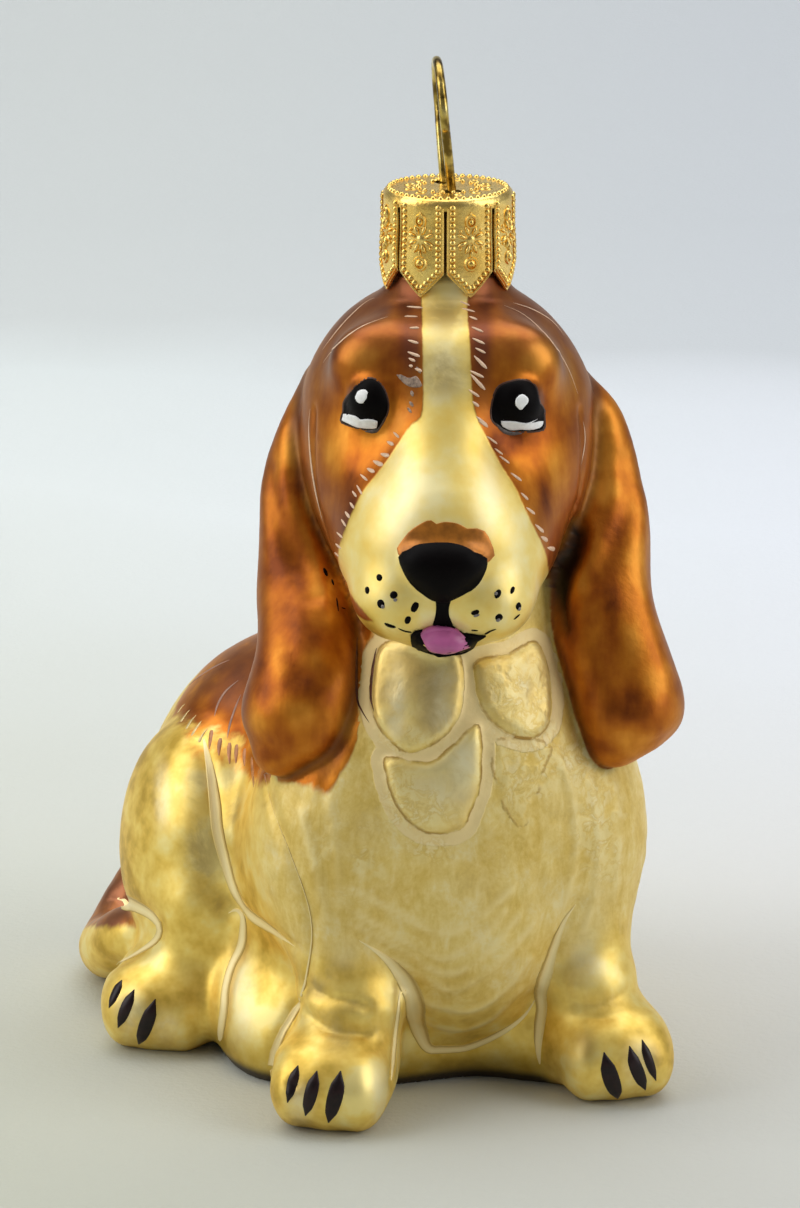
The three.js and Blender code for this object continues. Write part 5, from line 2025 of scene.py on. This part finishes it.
def top_relief():
    """The beaded rim of the cap's top, a ring of beads round its middle, and the petals between them."""
    made = []
    for radius, count, size, drop in ((5.62, 48, 0.31, 0.1), (2.9, 18, 0.24, 0)):
        for k in range(count):
            angle = 2 * math.pi * k / count
            bead = small_bead(size)
            place = (radius * math.cos(angle), radius * math.sin(angle), CAP_TOP - drop)
            bead.data.transform(Matrix.Translation(place))
            made.append(bead)
    for k in range(TOP_PETAL_COUNT):
        angle = 2 * math.pi * (k + 0.5) / TOP_PETAL_COUNT
        petal = small_ring(12)
        place = (TOP_PETALS_OUT * math.cos(angle), TOP_PETALS_OUT * math.sin(angle), CAP_TOP)
        facing = Matrix.Translation(place) @ Matrix.Rotation(angle, 4, "Z")
        petal.data.transform(facing @ Matrix.Diagonal((0.5, 0.4, 0.35, 1)))
        made.append(petal)
    return made


def stamped_cap():
    sheet = tab_sheet()
    relief = tab_relief()
    sheets, reliefs = [], []
    for k in range(TAB_COUNT):
        turn = Matrix.Rotation((k + 0.5) * 2 * math.pi / TAB_COUNT + math.radians(CAP_TURN), 4, "Z")
        sheets.append(copied(sheet, turn))
        reliefs.append(copied(relief, turn))
    for source in (sheet, relief):
        bpy.data.objects.remove(source)
    cap = merged(joined(sheets, "stamped_cap"), 0.02)
    apply_modifier(cap, "SOLIDIFY", thickness=SHEET, offset=-1)
    drill_wire_holes(cap)
    return joined([cap] + reliefs + top_relief(), "stamped_cap")


# The wire: two sprung legs inside the neck, and a round loop above the cap

WIRE_RADIUS = 0.45
LOOP_RADIUS, LOOP_MIDDLE = 4.18, 8  # of the wire's middle line, and how far its round lies above the cap
# the leg at one side, from inside the neck up to just above the cap: out from the middle, and up
LOOP_LEG = ((3.1, -7), (2.7, -3.5), (2.3, -0.6), (2.35, 1.2))
LOOP_ARC = [-34 + step / 16 * 248 for step in range(17)]  # degrees, from one side over the top to the other


def loop_line():
    """The middle of the wire as if it stood flat in a plane: across and up."""
    line = [(y, CAP_TOP + up) for y, up in LOOP_LEG]
    for degrees in LOOP_ARC:
        angle = math.radians(degrees)
        up = CAP_TOP + LOOP_MIDDLE + LOOP_RADIUS * math.sin(angle)
        line.append((LOOP_RADIUS * math.cos(angle), up))
    line += [(-y, CAP_TOP + up) for y, up in reversed(LOOP_LEG)]
    return smooth_line(line, 5)


def wire_loop():
    lean = math.tan(math.radians(LOOP_LEAN))
    places = []
    for y, z in loop_line():
        turn = math.radians(np.interp(z - CAP_TOP, (0, 7), (LOOP_TURN, LOOP_TURN_TOP)))
        places.append((-y * math.sin(turn) - max(0, z - CAP_TOP) * lean, y * math.cos(turn), z))
    return merged(wire_along("wire_loop", places, WIRE_RADIUS, 4), 0.001)


# The ornament is put together

# the nodes that the one skin stands for
FLESH = ["head", "torso", "tail"]
for form in ("ear", "foreleg", "forepaw", "thigh", "hind_foot"):
    FLESH += [f"{form}_right", f"{form}_left"]

photo_camera()
skin = blown_skin()
moulded_relief(skin, Surface(skin.data))
painted_features(Surface(skin.data))
finished(skin, painted_glass(), FLESH)
finished(stamped_cap(), stamped_gold(), ["cap"], smooth=False)
finished(wire_loop(), brass_wire(), ["hanging_loop"])
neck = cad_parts["neck"]
neck.data.materials.clear()
neck.data.materials.append(lacquered_neck())
table_and_backdrop()
soft_light()
